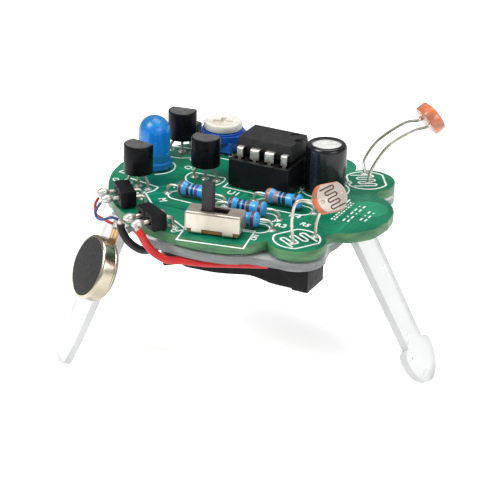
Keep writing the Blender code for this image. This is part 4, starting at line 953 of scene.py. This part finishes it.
def trimmer():
    x, y = TRIMMER
    base = Shape()
    base.box((5.6, 5.4, 1.9), TRIM_BLUE, at(x, y, 1.4), 0.15)
    disc = ring(3.6, 52, (0, 0), radians(32), radians(296)) + [(4.4, -1.2), (4.7, 0), (4.4, 1.2)]
    base.prism([disc, ring(1.2, 24)], 2.2, 3.3, TRIM_BLUE, at(x, y))
    base.prism([ring(3.35, 52), ring(1.2, 24)], 3.2, 3.65, TRIM_BLUE, at(x, y))
    for d in TRIMMER_LEADS:
        base.peg(x + d, y + TRIMMER_ROW)
    base.done("trimmer_housing", replaces=["trimmer_base"], bevel=0.08)
    dial = Shape()
    profile = [(0, 4.8), (1.9, 4.8), (2.1, 4.93), (2.75, 4.95), (2.98, 4.88), (3.1, 4.68), (3.12, 3.95),
        (3.05, 3.8), (0.85, 3.8), (0.85, 2.5), (0, 2.5)]
    dial.lathe(profile, TRIM_WHITE, at(x, y), 56)
    item = dial.done("trimmer_dial_top", body="trimmer_dial", replaces=["trimmer_rotor"])
    tool = Shape()
    for turn in (20, 110):
        tool.box((3.3, 0.85, 1.3), TRIM_WHITE, at(x, y, 4.9, radians(turn)), 0.1)
    cut(item, tool)
    # A block at the trimmer's rear-left corner stands for a corner of its body. Its near-black colour is
    # painted shade.
    track = Shape()
    track.box((1.4, 2.6, 2.4), TRIMMER_CORNER_SHADE, at(x - 4.7, y - 0.8, 2.6, radians(-6)), 0.3, 3)
    track.done("trimmer_shaded_corner_block", replaces=["trimmer_track"])


def axes_frame(centre, along, normal):
    z = Vector(normal).normalized()
    x = (Vector(along) - Vector(along).dot(z) * z).normalized()
    return frame_at(centre, x, z.cross(x), z)


def sensor(name, node, centre, along, normal, feet, lifts):
    """A glazed disc with its winding, on two long leads."""
    place = axes_frame(centre, along, normal)
    disc = Shape()
    corner = acos(SENSOR_WIDE / SENSOR_LONG)
    right = ring(SENSOR_LONG, 26, (0, 0), -pi / 2 + corner, pi - 2 * corner)
    outline = right + [(-x, -y) for x, y in right]
    top = SENSOR_T / 2
    disc.prism([outline], -top, top - 0.12, GLAZE_RIM, place, rounded=0.18)
    disc.prism([[(x * 0.95, y * 0.95) for x, y in outline]], top - 0.2, top - 0.04, GLAZE, place,
        rounded=0.05)
    path = Ink()
    path.strip(winding(7, 0.54, 0.62, 1.5), 0.2, WINDING, 0.03)
    face = place @ Matrix.Rotation(radians(14), 4, "Z")
    move(path, disc, face @ shift(0, 0, top - 0.03))
    for side in (-1, 1):
        spot = face @ shift(side * 1.75, 0, top - 0.08)
        disc.lathe([(0, 0.08), (0.2, 0.07), (0.34, 0.04), (0.4, 0), (0, -0.05)], SENSOR_SPOT, spot, 18)
    for side, foot, lift in zip((-1, 1), feet, lifts):
        end = place @ Vector((side * SENSOR_LEAD, 0, -top + 0.3))
        out = place @ Vector((side * SENSOR_LEAD, 0, -top - 0.5))
        run = smooth([(*foot, 0.1), (*foot, 0.5), *lift, tuple(out), tuple(end)], 8)
        disc.tube(run, LEAD_R, TINNED, 12)
        disc.foot(*foot)
        collar = place @ shift(side * SENSOR_LEAD, 0, -top)
        disc.lathe([(0, 0.1), (0.42, 0.05), (0.38, -0.15), (0.27, -0.3), (0, -0.32)], GLAZE_RIM, collar, 14)
    disc.done(name, replaces=[node])


def move(source, target, place):
    """Puts one shape's faces into another at a place."""
    for face in source.bm.faces:
        face.material_index = target.index(source.finishes[face.material_index])
    target.add(source.bm, place)


def sensors():
    sensor("light_sensor_left", "sensor_left", (22, 15, 11.6), (0.705, -0.708, 0.04),
        (0.545, 0.654, 0.531), SENSOR_LEFT_FEET, [[(10.9, 16.2, 2.2), (12.9, 16.6, 5.6),
        (17.2, 16.2, 9.4)], [(13.7, 12.9, 2.6), (16, 13.2, 6.4), (19.6, 13.5, 9.4)]])
    sensor("light_sensor_right", "sensor_right", (17.3, -11.8, 7.2), (0.605, 0.798, 0.022),
        (0.672, -0.523, 0.519), SENSOR_RIGHT_FEET, [[(12.4, -14.1, 3.4), (12.9, -13.6, 6.3)],
        [(14.8, -10.5, 2.4), (15.6, -10.3, 4.6)]])


def header(name, node, place):
    x, y, angle = place
    block = Shape()
    for side in (-1, 1):
        cell = at(x, y, HEADER_Z, angle) @ shift(side * PITCH / 2, 0, 0)
        loops = [rectangle(PITCH, HEADER_SIZE), rectangle(0.9, 0.9)]
        block.prism(loops, -HEADER_SIZE / 2, HEADER_SIZE / 2, PLASTIC, cell @ TIP_X, rounded=0.36)
    block.done(name + "_block", replaces=[node])
    reach = HEADER_SIZE / 2 + HEADER_FAN
    for number, d in enumerate(PAIR, 1):
        pin = Shape()
        spot = (*around(place, (d, 0)), angle + pi / 2)
        arc = [(HEADER_BACK - 0.5, 0), (HEADER_BACK - 0.15, -0.15), (HEADER_BACK, -0.5)]
        points = [(-reach, 0), (0, 0)] + arc + [(HEADER_BACK, -1.2)]
        route = [(*around(spot, (along, 0)), HEADER_Z + z) for along, z in points]
        pin.tube(route, 0.3, TINNED, 8)
        pin.foot(*around(spot, (HEADER_BACK, 0)), 0.3)
        turn = at(*around(spot, (-reach, 0)), HEADER_Z, spot[2])
        pin.blob((0.98, 0.78, 0.7), SOLDER, turn)
        pin.blob((0.45, 0.45, 0.4), SOLDER, turn @ shift(0.75, 0.1, 0.05))
        pin.done(f"{name}_terminal_{number}", replaces=[f"{node}_pin_{number}"])


# Motor and wiring.

def motor_place():
    """The motor's own axes: X down the right rear leg, Z out of its face."""
    bend, heading, slope = LEGS[2]
    out, across = leg_axes(heading)
    down = out * cos(slope) - UP * sin(slope)
    normal = down.cross(across)
    start = Vector((*bend, PLATE_MIDDLE)) + out * BEND_R * sin(slope) - UP * BEND_R * (1 - cos(slope))
    centre = start + down * MOTOR_DOWN + across * MOTOR_ASIDE + normal * MOTOR_BACK
    return frame_at(centre, down, across, normal)


def motor():
    place = motor_place()
    can = Shape()
    rim = [(MOTOR_R - MOTOR_RIM + MOTOR_RIM * sin(a), MOTOR_T - MOTOR_RIM + MOTOR_RIM * cos(a))
        for a in (pi / 2 * k / 6 for k in range(7))]
    profile = [(0, MOTOR_T - 0.25), (4.47, MOTOR_T - 0.25), (4.5, MOTOR_T - 0.05), (4.54, MOTOR_T)] + rim
    profile += [(MOTOR_R, 0.35), (MOTOR_R - 0.05, 0.3), (MOTOR_R, 0.25), (MOTOR_R, 0.05),
        (MOTOR_R - 0.05, 0), (MOTOR_R - 0.3, 0), (MOTOR_R - 0.3, MOTOR_T - 0.5), (0, MOTOR_T - 0.5)]
    can.lathe(profile, STEEL, place, 72)
    can.done("motor_shell", replaces=["motor_can"])
    pad = Shape()
    edge = MOTOR_PAD_R
    pad.lathe([(0, MOTOR_T + 0.05), (edge - 0.15, MOTOR_T + 0.05), (edge - 0.03, MOTOR_T),
        (edge, MOTOR_T - 0.1), (edge, MOTOR_T - 0.15), (0, MOTOR_T - 0.15)], PAD, place, 60)
    pad.done("motor_face_pad", replaces=["motor_pad"])
    flex = Shape()
    corner = -5.35
    tip = Vector((corner - FLEX_RISE * cos(FLEX_LEAN), 0.07 + FLEX_RISE * sin(FLEX_LEAN)))
    line = smooth([(-1, 0.07), (corner + 0.8, 0.07), (corner - 0.2, 0.1), (tip.x, tip.y)], 5)
    up = [(p.x, p.y + 0.06) for p in line]
    down = [(p.x, p.y - 0.06) for p in reversed(line)]
    stand = place @ shift(0, -0.3, -0.22) @ TIP_X
    flex.prism([up + down], -FLEX_W / 2, FLEX_W / 2, FLEX, stand)
    strip = [(p.x, p.y + 0.09) for p in line[6:]] + [(p.x, p.y + 0.05) for p in reversed(line[6:])]
    for along, across in ((0.75, 0.56), (0.25, -0.45)):
        dot = stand @ shift(tip.x + along, tip.y + 0.22, across)
        flex.blob((0.75, 0.38, 0.52), SOLDER, dot)
        flex.prism([strip], across - 0.26, across + 0.26, BRASS, stand)
    flex.done("motor_flex_strip", replaces=["motor_flex"])


def wires():
    routes = {"battery_lead_red": (0.6, RED, [(-8.2, -23.4, 0.9), (-7.6, -23.3, 0.1), (-7.3, -22.4, -1.5),
        (-6.2, -21.9, -2.9), (-4.4, -21.2, -3.9), (-2.6, -20, -4.1), (0.8, -19.2, -4.05), (4, -17.8, -4),
        (6.6, -16.5, -4), (9.2, -15.1, -4.05)]), "battery_lead_black": (0.6, BLACK,
        [(-11.8, -22.1, 0.6), (-11.6, -22.2, -0.3), (-10.7, -22, -1.8), (-9.6, -21.2, -3.1),
        (-9, -19.7, -4), (-8.8, -17.6, -4.5), (-8.7, -15.9, -4.7)]),
        "motor_lead_red": (0.22, RED, [(-19.44, -15.4, 0.73), (-19.7, -15.9, -0.21),
        (-19.2, -16.6, -1.42), (-17.38, -17, -1.88), (-15.84, -17.16, -2.16)]),
        "motor_lead_blue": (0.22, BLUE, [(-17.84, -17.5, 1.09), (-18.53, -17.8, -0.32),
        (-18.2, -18.1, -1.14), (-17.24, -18.2, -1.34), (-15.94, -17.69, -0.89), (-14.9, -17.3, -1.15)])}
    for name, (radius, finish, points) in routes.items():
        wire = Shape()
        run = smooth(points, 10)
        wire.tube(run, radius, finish, 18)
        for end, inner in ((run[0], run[1]), (run[-1], run[-2])):
            stub = end + (end - inner).normalized() * radius * 0.9
            wire.tube([inner, stub], radius * 0.55, TINNED, 10)
        wire.done(name + "_sleeve", replaces=[name])


def wall_bottom(bearing):
    """Height of the holder's lower edge: level, with a scoop for a finger at one side."""
    for (a, low), (b, high) in zip(SCOOP, SCOOP[1:]):
        if a <= bearing <= b:
            return low + (high - low) * (bearing - a) / (b - a)
    return HOLDER_BOTTOM


def cell_holder():
    """The round cup with its end block and lug, its pocket cleared and the block slotted."""
    cup = bmesh.new()
    count = HOLDER_SIDES
    rows = []
    roof, ceiling = cup.verts.new((0, 0, HOLDER_TOP)), cup.verts.new((0, 0, HOLDER_TOP - HOLDER_FLOOR))
    bottoms = [wall_bottom(360 * i / count - 180) for i in range(count)]
    for _ in range(3):
        bottoms = [(bottoms[i - 1] + 2 * z + bottoms[(i + 1) % count]) / 4 for i, z in enumerate(bottoms)]
    for i, low in enumerate(bottoms):
        angle = 2 * pi * i / count - pi
        profile = [(HOLDER_R - 0.2, HOLDER_TOP), (HOLDER_R, HOLDER_TOP - 0.2), (HOLDER_R, low + 0.12),
            (HOLDER_R - 0.12, low), (POCKET_R + 0.12, low), (POCKET_R, low + 0.12),
            (POCKET_R, HOLDER_TOP - HOLDER_FLOOR)]
        rows.append([cup.verts.new((r * cos(angle), r * sin(angle), z)) for r, z in profile])
    for row, following in zip(rows, rows[1:] + rows[:1]):
        cup.faces.new((roof, row[0], following[0]))
        cup.faces.new((ceiling, following[-1], row[-1]))
        for k in range(len(row) - 1):
            cup.faces.new((row[k], row[k + 1], following[k + 1], following[k]))
    bmesh.ops.recalc_face_normals(cup, faces=cup.faces)
    holder = Shape()
    holder.take(cup, PLASTIC, at(*HOLDER))
    block = [(9, -7.5), (9, -12.1), (12.05, -12.1), (12.05, -12.55), (14.65, -12.55), (14.65, -6.95),
        (12.05, -6.95), (12.05, -7.5)]
    holder.prism([block], HOLDER_BOTTOM, HOLDER_TOP - 0.2, PLASTIC, rounded=0.12)
    lug = [(-1.5, 0.4), (1.5, 0.4), (1.3, -3.2), (0.35, -4.6), (-0.35, -4.6), (-1.3, -3.2)]
    place = at(-8.1, -12.7, HOLDER_TOP - 0.5, radians(-47)) @ TIP_X
    holder.prism([lug], -1.4, 1.4, PLASTIC, place, rounded=0.15)
    item = holder.done("cell_holder", replaces=["battery_holder"])
    tool = Shape()
    deep = HOLDER_TOP - HOLDER_FLOOR + 0.001
    tool.lathe([(0, deep), (POCKET_R - 0.02, deep), (POCKET_R - 0.02, -10), (0, -10)], PLASTIC,
        at(*HOLDER), HOLDER_SIDES)
    tool.box((1.6, 0.6, 1.3), PLASTIC, at(14.4, -8.6, HOLDER_TOP - 1.7))
    return cut(item, tool)


def plain_nodes():
    """CAD solids whose shape is already right: each gets its finish."""
    finishes = {"holder_tape": FOAM, "plate_pad": FOAM, "motor_adhesive": FOAM, "coin_cell": CELL,
        "cell_contact_negative": TINNED, "cell_contact_positive": TINNED, "switch_case": NICKEL,
        "switch_base": PHENOLIC, "switch_slider": LEVER, "switch_contact": BRASS, "capacitor_can": CAN,
        "capacitor_element": PAPER, "motor_base": STEEL, "motor_shaft": STEEL, "motor_magnet": MAGNET,
        "motor_rotor": WEIGHT}
    finishes.update({f"socket_contact_{i}": TINNED for i in range(1, 9)})
    for name, finish in finishes.items():
        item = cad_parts[name]
        for slot in item.material_slots:
            slot.material = finish


# Stage.

def area_light(name, place, target, size, energy):
    light = bpy.data.lights.new(name, "AREA")
    light.shape = "RECTANGLE"
    light.size, light.size_y = size
    light.energy = energy
    item = linked(name, light)
    item.location = place
    item.rotation_mode = "QUATERNION"
    item.rotation_quaternion = (target - place).to_track_quat("-Z", "Y")


def stage():
    scene = bpy.context.scene
    scene.view_settings.view_transform = "Standard"
    world = bpy.data.worlds.new("studio")
    world.use_nodes = True
    feed(world.node_tree.nodes["Background"], Color=WHITE, Strength=0.35)
    scene.world = world
    floor = Shape()
    pale = surface("pale_floor", (0.93, 0.93, 0.93), (0.915, 0.915, 0.915), 0.6, 0.05, 20, 400, 0.02,
        Emission_Color=WHITE, Emission_Strength=0.45, gloss=0.2)
    floor.box((FLOOR_SIZE, FLOOR_SIZE, 4), pale, at(0, 0, FLOOR - 2.02))
    item = floor.placed("floor")
    middle = (cad_low + cad_high) / 2
    for name, offset, size, energy in LIGHTS:
        area_light(name, middle + Vector(offset), middle, size, energy)
    camera = bpy.data.cameras.new("camera")
    camera.lens = CAMERA_LENS
    camera.sensor_width = 36
    camera.clip_end = 10
    eye = linked("camera", camera)
    back = CAMERA_BACK.normalized()
    right = CAMERA_RIGHT.normalized()
    right = (right - right.dot(back) * back).normalized()
    up = back.cross(right)
    c, s = cos(CAMERA_ROLL), sin(CAMERA_ROLL)
    right, up = right * c + up * s, up * c - right * s
    eye.matrix_world = frame_at(TO_WORLD @ CAMERA_PLACE, right, up, back)
    scene.camera = eye


stage()
circuit_board()
leg_plate()
silkscreen()
traces()
chip_socket()
chip()
transistors()
resistors()
lamp()
capacitor()
trimmer()
sensors()
header("motor_header", "header_motor", HEADER_MOTOR)
header("battery_header", "header_battery", HEADER_BATTERY)
motor()
wires()
cell_holder()
plain_nodes()
